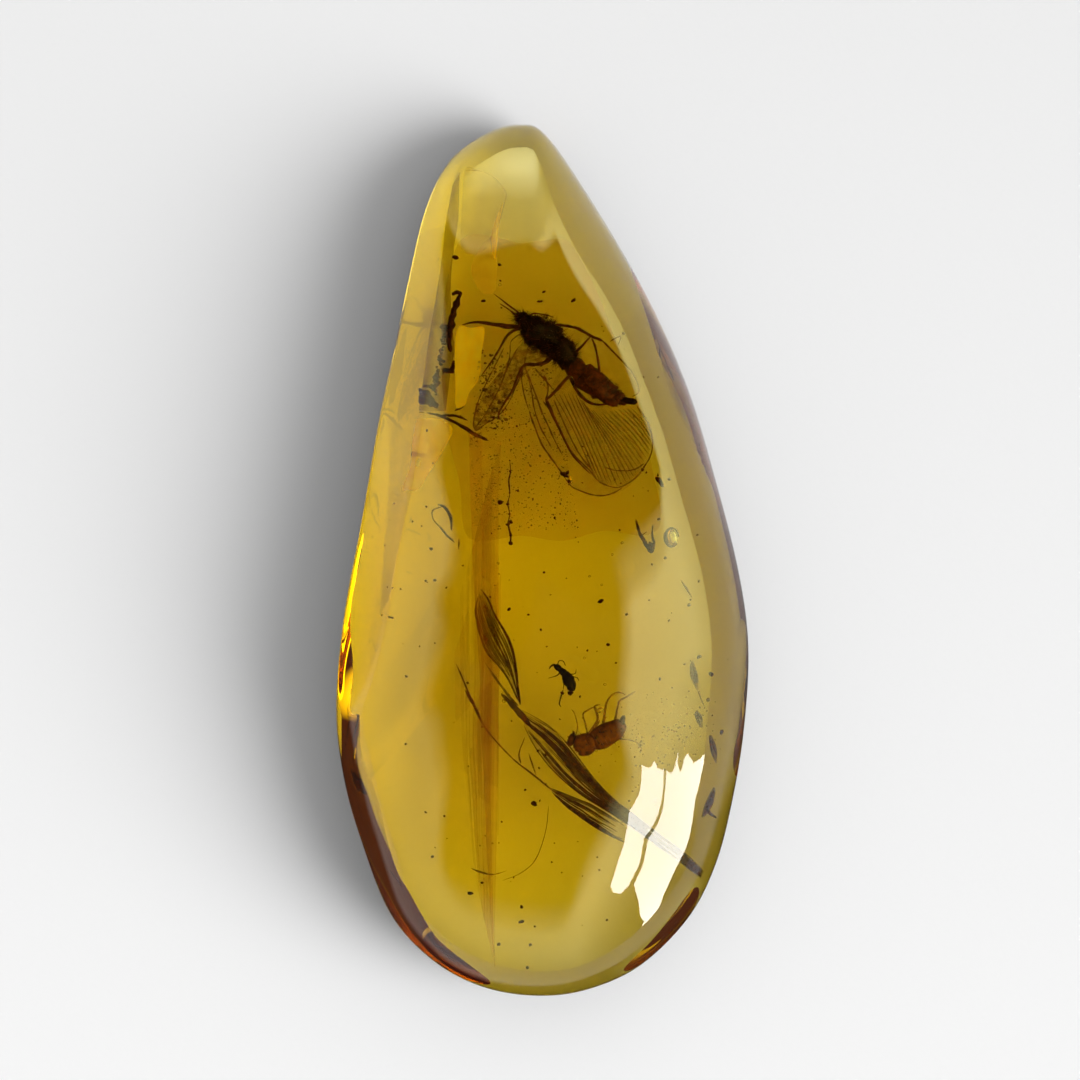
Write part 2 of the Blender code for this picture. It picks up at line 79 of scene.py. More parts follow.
FILM_CELLS = 22                # points along the longer side of a film
FILM_SAG = 0.05                # how far films and sheets are bowed, in mm
BRISTLE_WIDTH = 0.016          # of the bristles' roots, in mm
GRAIN_STOPS = (0.35, 0.68)     # values of a grain's pattern at its darkest and its lightest
INCLUSION_SHINE = 0.08
WAVE_SPAN = 6                  # from wave to wave of the polish, in mm
DULL_SPAN = 0.9                # from one duller place of the skin to the next, in mm
DULL_ROUGHNESS = 0.035
LIGHT_BOUNCES = 32             # enough for rays that pass to and fro in the amber

# Bubbles: x, y, lift, width, length in mm and the turn in degrees
BUBBLES = [
    (5.82, 0.9, 0.1, 0.52, 0.86, 12), (-2.08, 13.59, 0.2, 0.16, 0.16, 0), (1.12, 3.76, 0.3, 0.2, 0.2, 0),
    (2.08, -0.93, 0.5, 0.12, 0.12, 0), (2.63, -1.38, 0.2, 0.12, 0.12, 0), (3.08, 0.12, 0.4, 0.12, 0.12, 0),
    (3.49, 0.67, 0.1, 0.14, 0.14, 0), (-2.08, -0.23, 0.6, 0.13, 0.13, 0), (2.63, -7.52, 0.3, 0.3, 0.26, 40),
    (2.81, -6.27, 0.2, 0.15, 0.15, 0), (-1.85, -7.07, 0.3, 0.2, 0.2, 0), (1.9, -4.95, 0.3, 0.14, 0.14, 0),
]


# ------------------------------------------------------------------ settings

class AmberSettings(bpy.types.PropertyGroup):
    """Sizes and colours of the drop of amber"""
    tint: FloatVectorProperty(name="Tint", description="Light left after a length of amber", subtype="COLOR",
                              size=3, default=(0.947, 0.865, 0.032), min=0, max=1)
    density: FloatProperty(name="Depth", description="How fast the amber takes light in, per metre",
                           default=335.0, min=0)
    ior: FloatProperty(name="Refraction", description="Index of refraction", default=1.54, min=1)
    wave_height: FloatProperty(name="Polish Waves",
                               description="Height of the faint waves left by polishing",
                               subtype="DISTANCE", unit="LENGTH", default=0.0000015, min=0)


class InsectSettings(bpy.types.PropertyGroup):
    """Sizes and colours of the insects"""
    dark: FloatVectorProperty(name="Body", description="Colour of the winged insect", subtype="COLOR",
                              size=3, default=(0.010, 0.002, 0.0015), min=0, max=1)
    leg: FloatVectorProperty(name="Legs", description="Colour of its legs and veins", subtype="COLOR",
                             size=3, default=(0.05, 0.011, 0.004), min=0, max=1)
    brown: FloatVectorProperty(name="Brown Insect", description="Colour of the brown insect",
                               subtype="COLOR",
                               size=3, default=(0.17, 0.05, 0.010), min=0, max=1)
    wing_opacity: FloatProperty(name="Wing Opacity", description="How much the wing film hides",
                                subtype="FACTOR", default=0.24, min=0, max=1)
    vein_width: FloatProperty(name="Vein Width", description="Width of the wing veins", subtype="DISTANCE",
                              unit="LENGTH", default=0.00005, min=0.00001)
    veins: IntProperty(name="Veins", description="Fine veins in the hind wing", default=21, min=2, max=60)


class PlantSettings(bpy.types.PropertyGroup):
    """Sizes and colours of the plant remains"""
    dark: FloatVectorProperty(name="Dark Fibres", description="Colour of the dark fibres", subtype="COLOR",
                              size=3, default=(0.055, 0.018, 0.004), min=0, max=1)
    olive: FloatVectorProperty(name="Leaf", description="Colour of the leaf film", subtype="COLOR",
                               size=3, default=(0.19, 0.12, 0.008), min=0, max=1)
    fibres: IntProperty(name="Fibres", description="Fibres across the strip", default=26, min=3, max=80)


class StageSettings(bpy.types.PropertyGroup):
    """The floor, lights and camera"""
    floor: FloatVectorProperty(name="Floor", description="Colour of the floor", subtype="COLOR", size=3,
                               default=(0.86, 0.86, 0.86), min=0, max=1)
    window: FloatProperty(name="Window", description="Brightness of the window", default=17.0, min=0)
    sky: FloatProperty(name="Room Light", description="Brightness of the room on the floor", default=1.07,
                       min=0)
    inside: FloatProperty(name="Light Inside", description="Brightness of the room seen through the amber",
                          default=1.08, min=0)
    window_inside: FloatProperty(name="Window Inside",
                                 description="Brightness of the window seen through it",
                                 default=6.6, min=0)


# ------------------------------------------------------------------- shapes

class Shape:
    """Gathers the points, faces and material numbers of one piece"""

    def __init__(self):
        self.points, self.faces, self.finishes = [], [], []

    def add(self, points, faces, finish=0):
        start = len(self.points)
        self.points.extend(tuple(float(value) for value in point) for point in points)
        self.faces.extend(tuple(start + i for i in face) for face in faces)
        self.finishes.extend([finish] * len(faces))


def add_object(name, data):
    """Puts a mesh or a camera into the scene"""
    item = bpy.data.objects.new(name, data)
    bpy.context.scene.collection.objects.link(item)
    return item


def make_piece(name, shape, materials, nodes=()):
    """A mesh object of a shape, riding on the drop in place of its CAD nodes"""
    mesh = bpy.data.meshes.new(name)
    points = [(x * MM, y * MM, (PARTING + lift) * MM) for x, y, lift in shape.points]
    mesh.from_pydata(points, [], shape.faces)
    mesh.polygons.foreach_set("material_index", shape.finishes)
    mesh.polygons.foreach_set("use_smooth", [True] * len(mesh.polygons))
    for material in materials:
        mesh.materials.append(material)
    mesh.validate()
    mesh.set_sharp_from_angle(angle=PIECE_SHARP)
    piece = add_object(name, mesh)
    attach(piece, "root")
    if nodes:
        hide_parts(*nodes)
    return piece


def catmull_rom(a, b, c, d, t):
    return 0.5 * (2 * b + (c - a) * t + (2 * a - 5 * b + 4 * c - d) * t ** 2
                  + (3 * b - a - 3 * c + d) * t ** 3)


def through(rows, steps=5):
    """Points on a smooth open curve through the rows"""
    rows = np.array(rows, float)
    padded = np.vstack([2 * rows[0] - rows[1], rows, 2 * rows[-1] - rows[-2]])
    along = np.linspace(0, len(rows) - 1, (len(rows) - 1) * steps + 1)
    start = np.minimum(along.astype(int), len(rows) - 2)
    t = (along - start)[:, None]
    return catmull_rom(*[padded[start + k] for k in range(4)], t)


def around(rows, steps):
    """Points on a smooth closed curve through the rows"""
    rows = np.array(rows, float)
    along = np.linspace(0, len(rows), steps, endpoint=False)
    start = np.floor(along).astype(int)
    t = (along - start)[:, None]
    return catmull_rom(*[rows[(start + k) % len(rows)] for k in (-1, 0, 1, 2)], t)


def evenly(rows, count):
    """Points spaced evenly along the curve through the rows"""
    fine = through(rows, 12)
    reach = np.concatenate([[0], np.cumsum(np.linalg.norm(np.diff(fine, axis=0), axis=1))])
    at = np.linspace(0, reach[-1], count)
    return np.stack([np.interp(at, reach, fine[:, k]) for k in range(fine.shape[1])], 1)


def lifted(points, lift):
    """The points (x, y) at one height over the parting"""
    return [(*point[:2], lift) for point in points]


def ring_faces(rows, sides):
    """Squares between closed rings of points"""
    return [(k * sides + i, k * sides + (i + 1) % sides, (k + 1) * sides + (i + 1) % sides,
             (k + 1) * sides + i)
            for k in range(rows) for i in range(sides)]


def tube(shape, points, width, end_width=None, finish=0, sides=7, flat=1.0, rough=0.0, steps=5):
    """A round or flattened tube through the points, with closed rounded ends"""
    rows = through(points, steps)
    count = len(rows)
    share = np.linspace(0, 1, count)
    if np.ndim(width):
        widths = np.interp(share, np.linspace(0, 1, len(width)), width)
    else:
        widths = width + ((width if end_width is None else end_width) - width) * share
    ends = np.sqrt(np.clip(1 - (1 - np.minimum(share, share[::-1]) * (count - 1) / 1.5).clip(0, 1) ** 2,
                           0.12, 1))
    rings = []
    for k in range(count):
        along = Vector(rows[min(k + 1, count - 1)] - rows[max(k - 1, 0)]).normalized()
        across = Vector((0, 0, 1)).cross(along)
        across = across.normalized() if across.length > 1e-4 else Vector((1, 0, 0))
        over = along.cross(across)
        centre = Vector(rows[k])
        for i in range(sides):
            turn = 2 * math.pi * i / sides
            side = across * math.cos(turn) + over * math.sin(turn) * flat
            size = widths[k] / 2 * ends[k]
            if rough:
                size *= 1 + rough * noise.noise((centre + side * widths[k]) * 4.0)
            rings.append(centre + side * size)
    faces = ring_faces(count - 1, sides)
    faces.append(tuple(range(sides))[::-1])
    faces.append(tuple(range((count - 1) * sides, count * sides)))
    shape.add(rings, faces, finish)


def egg(shape, centre, size, turn=0.0, finish=0, lumps=0.06, grain=2.5, rings=14, segments=20):
    """A rounded body with lumps: centre and full sizes, its long side turned from +X"""
    turned = Matrix.Rotation(math.radians(turn), 3, "Z")
    points = []
    for j in range(rings + 1):
        lean = math.pi * j / rings
        for i in range(segments):
            spin = 2 * math.pi * i / segments
            ball = Vector((math.cos(lean), math.sin(lean) * math.cos(spin), math.sin(lean) * math.sin(spin)))
            offset = Vector((ball.x * size[0], ball.y * size[1], ball.z * size[2])) / 2
            point = Vector(centre) + turned @ offset
            points.append(point + (turned @ offset) * lumps * 2 * noise.noise(point * grain))
    shape.add(points, ring_faces(rings, segments), finish)


def bristles(shape, centre, size, turn, count, length, seed, finish=0):
    """Fine hairs standing off an egg-like body"""
    rng = np.random.default_rng(seed)
    turned = Matrix.Rotation(math.radians(turn), 3, "Z")
    for _ in range(count):
        ball = Vector(rng.normal(size=3)).normalized()
        root = Vector(centre) + turned @ Vector([ball[k] * size[k] / 2 * 0.96 for k in range(3)])
        out = (turned @ ball + Vector(rng.normal(size=3)) * 0.35).normalized()
        tip = root + out * length * rng.uniform(0.5, 1.2)
        side = out.cross(Vector((0.3, 0.5, 0.8))).normalized() * BRISTLE_WIDTH
        other = out.cross(side).normalized() * BRISTLE_WIDTH
        shape.add([root + side, root - side * 0.5 + other, root - side * 0.5 - other, tip],
                  [(0, 1, 3), (1, 2, 3), (2, 0, 3), (0, 2, 1)], finish)


def film(shape, outline, lift, finish=0):
    """A thin sheet with a smooth outline, slightly waved"""
    edge = around(outline, len(outline) * 5)
    low, high = edge.min(0), edge.max(0)
    spacing = (high - low).max() / FILM_CELLS
    inner = []
    for gx in np.arange(low[0] + spacing / 2, high[0], spacing):
        for gy in np.arange(low[1] + spacing / 2, high[1], spacing):
            inside = False
            for k in range(len(edge)):
                (x0, y0), (x1, y1) = edge[k - 1][:2], edge[k][:2]
                if (y0 > gy) != (y1 > gy) and gx < (x1 - x0) * (gy - y0) / (y1 - y0) + x0:
                    inside = not inside
            if inside and np.min(np.hypot(edge[:, 0] - gx, edge[:, 1] - gy)) > spacing * 0.45:
                inner.append((gx, gy))
    flat_points = [Vector(point[:2]) for point in edge] + [Vector(point) for point in inner]
    loop = list(range(len(edge)))
    verts, _, faces, *_ = delaunay_2d_cdt(flat_points, [], [loop], 1, 1e-5)
    points = [(v.x, v.y, lift + FILM_SAG * noise.noise(Vector((v.x, v.y, lift * 3)) * 0.7)) for v in verts]
    shape.add(points, [tuple(face) for face in faces], finish)


def strip(shape, edge_a, edge_b, lift_a, lift_b, finish=0, count=40, across=4):
    """A sheet between two edges, each with its own height over the parting"""
    a, b = evenly(edge_a, count), evenly(edge_b, count)
    points, faces = [], []
    for k in range(count):
        for j in range(across + 1):
            t = j / across
            x, y = a[k, :2] * (1 - t) + b[k, :2] * t
            points.append((x, y, lift_a * (1 - t) + lift_b * t + FILM_SAG * math.sin(math.pi * t)))
    for k in range(count - 1):
        for j in range(across):
            i = k * (across + 1) + j
            faces.append((i, i + 1, i + across + 2, i + across + 1))
    shape.add(points, faces, finish)


def fibres(shape, edge_a, edge_b, count, seed, finishes, lift=0.0, spread=0.16, width=0.07, gaps=()):
    """Long fibres side by side between two edges, some of them ending early"""
    rng = np.random.default_rng(seed)
    length = 26
    a, b = evenly(edge_a, length), evenly(edge_b, length)
    for k in range(count):
        t = (k + 0.5) / count
        if any(low < t < high for low, high in gaps):
            continue
        start, end = sorted(rng.uniform(0, 1, 2) * (0.25, 0.25) + (0, 0.75)) if 0 < k < count - 1 else (0, 1)
        first, last = int(start * (length - 1)), max(int(end * (length - 1)), 3)
        drift = rng.normal(0, 0.35 / count, length).cumsum() * 0.5
        path = [(*(a[i, :2] * (1 - t - drift[i]) + b[i, :2] * (t + drift[i])),
                 lift + spread * (0.5 - abs(t - 0.5)) + rng.normal(0, 0.012)) for i in range(first, last + 1,
                                                                                             3)]
        if len(path) > 2:
            thick = width * rng.uniform(0.6, 1.5)
            tube(shape, path, [thick * 0.5, thick, thick * 1.1, thick * 0.4],
                 finish=int(rng.choice(finishes)),
                 sides=5, flat=0.6, steps=3)


def crumbs(shape, places, sizes, seed, finish=0, spread=0.5):
    """Small rough grains at the places (x, y), at different heights"""
    rng = np.random.default_rng(seed)
    for (x, y), size in zip(places, sizes):
        reach = [size * rng.uniform(0.6, 1.3) for _ in range(3)]
        egg(shape, (x, y, rng.uniform(-spread, spread)), reach, turn=rng.uniform(0, 180), finish=finish,
            lumps=0.3, grain=9.0, rings=5, segments=7)


# ----------------------------------------------------------------- materials

def linear(code):
    """The linear colour of an sRGB hex code"""
    values = [int(code[k:k + 2], 16) / 255 for k in (1, 3, 5)]
    return tuple(v / 12.92 if v <= 0.04045 else ((v + 0.055) / 1.055) ** 2.4 for v in values)


def add_node(tree, kind, links=None, **settings):
    """Adds a node; a setting is a property or an input's value, and links join inputs to sockets"""
    node = tree.nodes.new(kind)
    for key, value in settings.items():
        if hasattr(node, key):
            setattr(node, key, value)
        else:
            node.inputs[key.replace("_", " ")].default_value = value
    for key, socket in (links or {}).items():
        tree.links.new(socket, node.inputs[key])
    return node


def new_material(name):
    material = bpy.data.materials.new(name)
    material.use_nodes = True
    material.node_tree.nodes.clear()
    return material, material.node_tree


def grained(name, dark, light, grain, roughness=0.4, relief=0.0, opacity=1.0, patches=None,
            stretch=(1, 1, 1)):
    """A solid whose colour goes from dark to light over grains of a size in mm, with relief in mm.
    Patches (size in mm, share) hide or thin it in places, for worn and see-through films."""
    material, tree = new_material(name)
    place = add_node(tree, "ShaderNodeTexCoord")
    scaled = add_node(tree, "ShaderNodeMapping", {"Vector": place.outputs["Object"]}, Scale=stretch)
    pattern = add_node(tree, "ShaderNodeTexNoise", {"Vector": scaled.outputs[0]}, Scale=1 / (grain * MM),
                       Detail=3.0, Roughness=0.6)
    ramp = add_node(tree, "ShaderNodeValToRGB", {"Fac": pattern.outputs["Fac"]})
    for element, position, colour in zip(ramp.color_ramp.elements, GRAIN_STOPS, (dark, light)):
        element.position, element.color = position, (*colour, 1)
    gloss = add_node(tree, "ShaderNodeMapRange", {"Value": pattern.outputs["Fac"]}, To_Min=roughness * 0.75,
                     To_Max=min(1.0, roughness * 1.3))
    shader = add_node(tree, "ShaderNodeBsdfPrincipled",
                      {"Base Color": ramp.outputs["Color"], "Roughness": gloss.outputs["Result"]})
    shader.inputs["Specular IOR Level"].default_value = INCLUSION_SHINE
    if relief:
        bump = add_node(tree, "ShaderNodeBump", {"Height": pattern.outputs["Fac"]}, Strength=0.6,
                        Distance=relief * MM)
        tree.links.new(bump.outputs["Normal"], shader.inputs["Normal"])
    if patches:
        size, share = patches
        blot = add_node(tree, "ShaderNodeTexNoise", {"Vector": scaled.outputs[0]}, Scale=1 / (size * MM),
                        Detail=2.0)
        thin = add_node(tree, "ShaderNodeMapRange", {"Value": blot.outputs["Fac"]}, From_Min=0.5 - share / 2,
                        From_Max=0.5 + share / 2, To_Min=opacity * 0.25, To_Max=opacity)
        tree.links.new(thin.outputs["Result"], shader.inputs["Alpha"])
    else:
        shader.inputs["Alpha"].default_value = opacity
    add_node(tree, "ShaderNodeOutputMaterial", {"Surface": shader.outputs[0]})
    return material


def amber_material(settings):
    """Clear amber: light is bent by the polished skin and yellows with the length it travels.  Faint
    waves and duller places keep the reflections from being perfect."""
    material, tree = new_material("amber")
    place = add_node(tree, "ShaderNodeTexCoord")
    waves = add_node(tree, "ShaderNodeTexNoise", {"Vector": place.outputs["Object"]},
                     Scale=1 / (WAVE_SPAN * MM),
                     Detail=1.0)
    marks = add_node(tree, "ShaderNodeTexNoise", {"Vector": place.outputs["Object"]},
                     Scale=1 / (DULL_SPAN * MM),
                     Detail=2.0)
    wear = add_node(tree, "ShaderNodeMapRange", {"Value": marks.outputs["Fac"]}, From_Min=0.55, From_Max=0.8,
                    To_Min=0.0, To_Max=DULL_ROUGHNESS)
    bump = add_node(tree, "ShaderNodeBump", {"Height": waves.outputs["Fac"]}, Strength=1.0,
                    Distance=settings.wave_height)
    shader = add_node(tree, "ShaderNodeBsdfPrincipled",
                      {"Normal": bump.outputs["Normal"], "Roughness": wear.outputs["Result"]},
                      IOR=settings.ior, Transmission_Weight=1.0, Base_Color=(1, 1, 1, 1))
    depth = add_node(tree, "ShaderNodeVolumeAbsorption", Color=(*settings.tint, 1), Density=settings.density)
    add_node(tree, "ShaderNodeOutputMaterial", {"Surface": shader.outputs[0], "Volume": depth.outputs[0]})
    return material


def chitin(name, colour, roughness=0.35, opacity=1.0):
    """Insect shell: a dark polished skin with paler mottling and fine pits"""
    dark = [value * 0.45 for value in colour]
    light = [min(1, value * 2.0) for value in colour]
    return grained(name, dark, light, grain=0.22, roughness=roughness, relief=0.02, opacity=opacity)


def bark_material():
    """Rotten bark and wood dust: nearly black brown, matt and crumbly"""
    return grained("bark", linear("#1c0a04"), linear("#4a210d"), grain=0.15, roughness=0.8, relief=0.04)


# ----------------------------------------------------------------- the amber

def drop_skin(directions):
    """Where the drop's skin is, in mm, for each direction of the unit sphere"""
    rows = around(OUTLINE, 1450)
    crown = np.array(CROWN)
    turns = np.arctan2(rows[:, 1] - crown[1], rows[:, 0] - crown[0])
    order = np.argsort(turns)
    turns, rows = turns[order], rows[order]
    reach = np.hypot(*(rows[:, :2] - crown).T)
    turn = np.arctan2(directions[:, 1], directions[:, 0])
    level, up = np.hypot(directions[:, 0], directions[:, 1]), directions[:, 2]
    far, widest, inset = [np.interp(turn, turns, values, period=2 * math.pi)
                          for values in (reach, rows[:, 2], rows[:, 3])]
    underside = widest / np.sqrt(1 - (1 - inset / far) ** 2)
    out = np.where(up >= 0, level ** (2 / DOME_FULLNESS), level)
    height = np.where(up >= 0, widest + (DROP_HEIGHT - widest) * np.abs(up), widest + underside * up)
    points = np.stack([crown[0] + far * out * np.cos(turn), crown[1] + far * out * np.sin(turn), height], 1)
    # The facet: points beyond its plane are drawn back to it, with a slightly rounded edge
    start, end, heart = Vector(FACET_FROM), Vector(FACET_TO), np.array([*CROWN, 4.0])
    outward = Vector((0, 0, 1)).cross(end - start).normalized()
    normal = np.array((outward * math.sin(FACET_SLOPE) + Vector((0, 0,
                                                                 1)) * math.cos(FACET_SLOPE)).normalized())
    beyond = (points - heart) @ normal
    share = np.where(beyond > 1e-6, ((np.array(start) - heart) @ normal) / np.maximum(beyond, 1e-6), 9.0)
    share = np.minimum(share, 3.0)
    blend = np.clip(0.5 + 0.5 * (share - 1) / FACET_EDGE, 0, 1)
    kept = share * (1 - blend) + blend - FACET_EDGE * blend * (1 - blend)
    return heart + (points - heart) * kept[:, None]


def drop_mesh(grid):
    """The drop's skin as a mesh of even squares, cut off at its flat and left open there"""
    bm = bmesh.new()
    bmesh.ops.create_cube(bm, size=2.0)
    bmesh.ops.subdivide_edges(bm, edges=bm.edges[:], cuts=grid, use_grid_fill=True)
    cube = np.tan(np.array([vert.co for vert in bm.verts]) * math.pi / 4)
    skin = drop_skin(cube / np.linalg.norm(cube, axis=1)[:, None])
    for vert, point in zip(bm.verts, skin):
        vert.co = point * MM
    bmesh.ops.bisect_plane(bm, geom=bm.verts[:] + bm.edges[:] + bm.faces[:], dist=1e-9, plane_co=(0, 0, 0),
                           plane_no=(0, 0, -1), clear_outer=True)
    return bm


def add_bubble(bm, x, y, lift, width, length, turn):
    """A hollow in the amber: its skin faces inwards"""
    placed = (Matrix.Translation(Vector((x, y, PARTING + lift)) * MM) @ Matrix.Rotation(math.radians(turn),
                                                                                        4, "Z")
              @ Matrix.Diagonal((width * MM, length * MM, width * MM, 1)))
    made = bmesh.ops.create_icosphere(bm, subdivisions=4 if length > 0.4 else 3, radius=0.5, matrix=placed)
    faces = {face for vert in made["verts"] for face in vert.link_faces}
    bmesh.ops.reverse_faces(bm, faces=list(faces))


class AMBER_OT_drop(bpy.types.Operator):
    """Makes the clear drop of amber with its bubbles"""
    bl_idname = "amber.drop"
    bl_label = "Drop of Amber"

    def execute(self, context):
        bm = drop_mesh(DROP_GRID)
        bmesh.ops.holes_fill(bm, edges=[edge for edge in bm.edges if edge.is_boundary])
        if any(edge.is_boundary for edge in bm.edges):
            raise RuntimeError("the drop isn't closed")
        for bubble in BUBBLES:
            add_bubble(bm, *bubble)
        for face in bm.faces:
            face.smooth = True
        mesh = bpy.data.meshes.new("amber_drop")
        bm.to_mesh(mesh)
        bm.free()
        mesh.set_sharp_from_angle(angle=DROP_SHARP)
        mesh.materials.append(amber_material(context.scene.amber_drop))
        piece = add_object("amber_drop", mesh)
        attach(piece, "root")
        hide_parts("amber_front", "amber_back")
        return {"FINISHED"}


# ---------------------------------------------------------------- the insects

FAN = [(-0.21, 7.76), (0.21, 6.92), (0.63, 6), (1.05, 5.24), (1.61, 4.62), (2.03, 4.17), (2.38, 3.71),
       (2.94, 3.44), (3.36, 3.44), (3.78, 3.67), (4.13, 3.98), (4.48, 4.51), (4.74, 5.01), (4.84, 5.69),
       (4.71, 6.46), (4.41, 6.99), (4.09, 7.45)]
FAN_INNER = [(0.14, 7.83), (0.49, 6.99), (0.84, 6.23), (1.19, 5.54), (1.61, 4.85), (2.03, 4.32)]
FAN_LOW = [(2.59, 4.43), (3.01, 4.28), (3.57, 4.23), (4.06, 4.33), (4.41, 4.59)]
UNDER_RIM = [(-0.7, 7.3), (-0.42, 6.31), (-0.14, 5.46), (0.28, 4.7), (0.7, 4.09), (1.12, 3.52), (1.61, 3.25),
             (2.1, 3.06), (2.59, 3.02), (3.08, 3.17), (3.43, 3.4)]
VEIN_ROOTS = [(0.21, 7.99), (0.7, 8.14), (1.26, 7.99), (1.75, 7.45), (2.31, 7.15), (2.87, 7.21),
              (3.36, 7.31), (3.81, 7.34)]
VEIN_ENDS = [(2.2, 3.94), (2.73, 3.59), (3.29, 3.52), (3.85, 3.86), (4.2, 4.36), (4.56, 4.93), (4.74, 5.46),
             (4.74, 6.15)]
LOBE_LINES = [
    [(-1.01, 9.48), (-1.05, 8.9), (-0.94, 8.14), (-0.73, 7.37)],
    [(-0.49, 9.44), (-0.21, 8.9), (0.14, 8.29)],
    [(-0.21, 9.05), (-0.07, 8.44), (-0.14, 7.76)],
    [(-0.91, 9.51), (-0.63, 8.44), (-0.49, 7.37), (-0.21, 6.31), (0.14, 5.46)],
    [(-0.77, 9.21), (-0.42, 7.99), (-0.14, 6.92), (0.21, 5.92), (0.63, 5.08)],
]
FORE_LINES = [
    [(-1.05, 11.19), (-1.54, 10.74), (-1.61, 9.97), (-1.88, 9.05), (-2.06, 8.44)],
    [(-1.19, 10.51), (-1.68, 9.51), (-2.02, 8.6), (-2.58, 7.22), (-3, 6.46)],
    [(-1.88, 10.43), (-2.3, 9.51), (-2.65, 8.6), (-2.93, 7.68), (-3.04, 6.69), (-2.93, 6.34)],
    [(-0.77, 10.43), (-0.91, 9.82), (-1.05, 9.21), (-1.4, 8.29), (-1.68, 7.68), (-2.09, 7.07), (-2.58, 6.69),
     (-2.93, 6.34)],
]
RIGHT_WING = [(0.3, 11.2), (1.2, 11.3), (2.52, 10.72), (3.88, 9.3), (4.27, 8.3), (3.9, 7.95), (2.9, 8.3),
              (1.2, 9.6)]
LEFT_WING = [(0.1, 10.3), (-0.6, 10.95), (-1.1, 10.6), (-1.88, 9.51), (-2.65, 8.29), (-3.04, 6.92),
             (-2.93, 6.34), (-2.37, 6.92), (-1.75, 7.76), (-1.05, 8.9)]
HIND_WING = [(0.5, 9.4), (0.0, 8.2), (0.21, 6.92), (0.63, 6.0), (1.05, 5.24), (1.61, 4.62), (2.38, 3.71),
             (2.94, 3.44), (3.78, 3.67), (4.48, 4.51), (4.84, 5.69), (4.71, 6.46), (4.09, 7.55), (3.01, 8.3),
             (1.61, 9.3)]
UNDER_WING = [(0.4, 9.7), (-0.49, 9.4), (-0.77, 7.83), (-0.42, 6.31), (0.28, 4.7), (0.84, 3.86),
              (1.61, 3.25),
              (2.52, 3.01), (3.36, 3.21), (4.06, 3.86), (4.3, 5.0), (3.4, 6.6), (1.9, 8.4)]


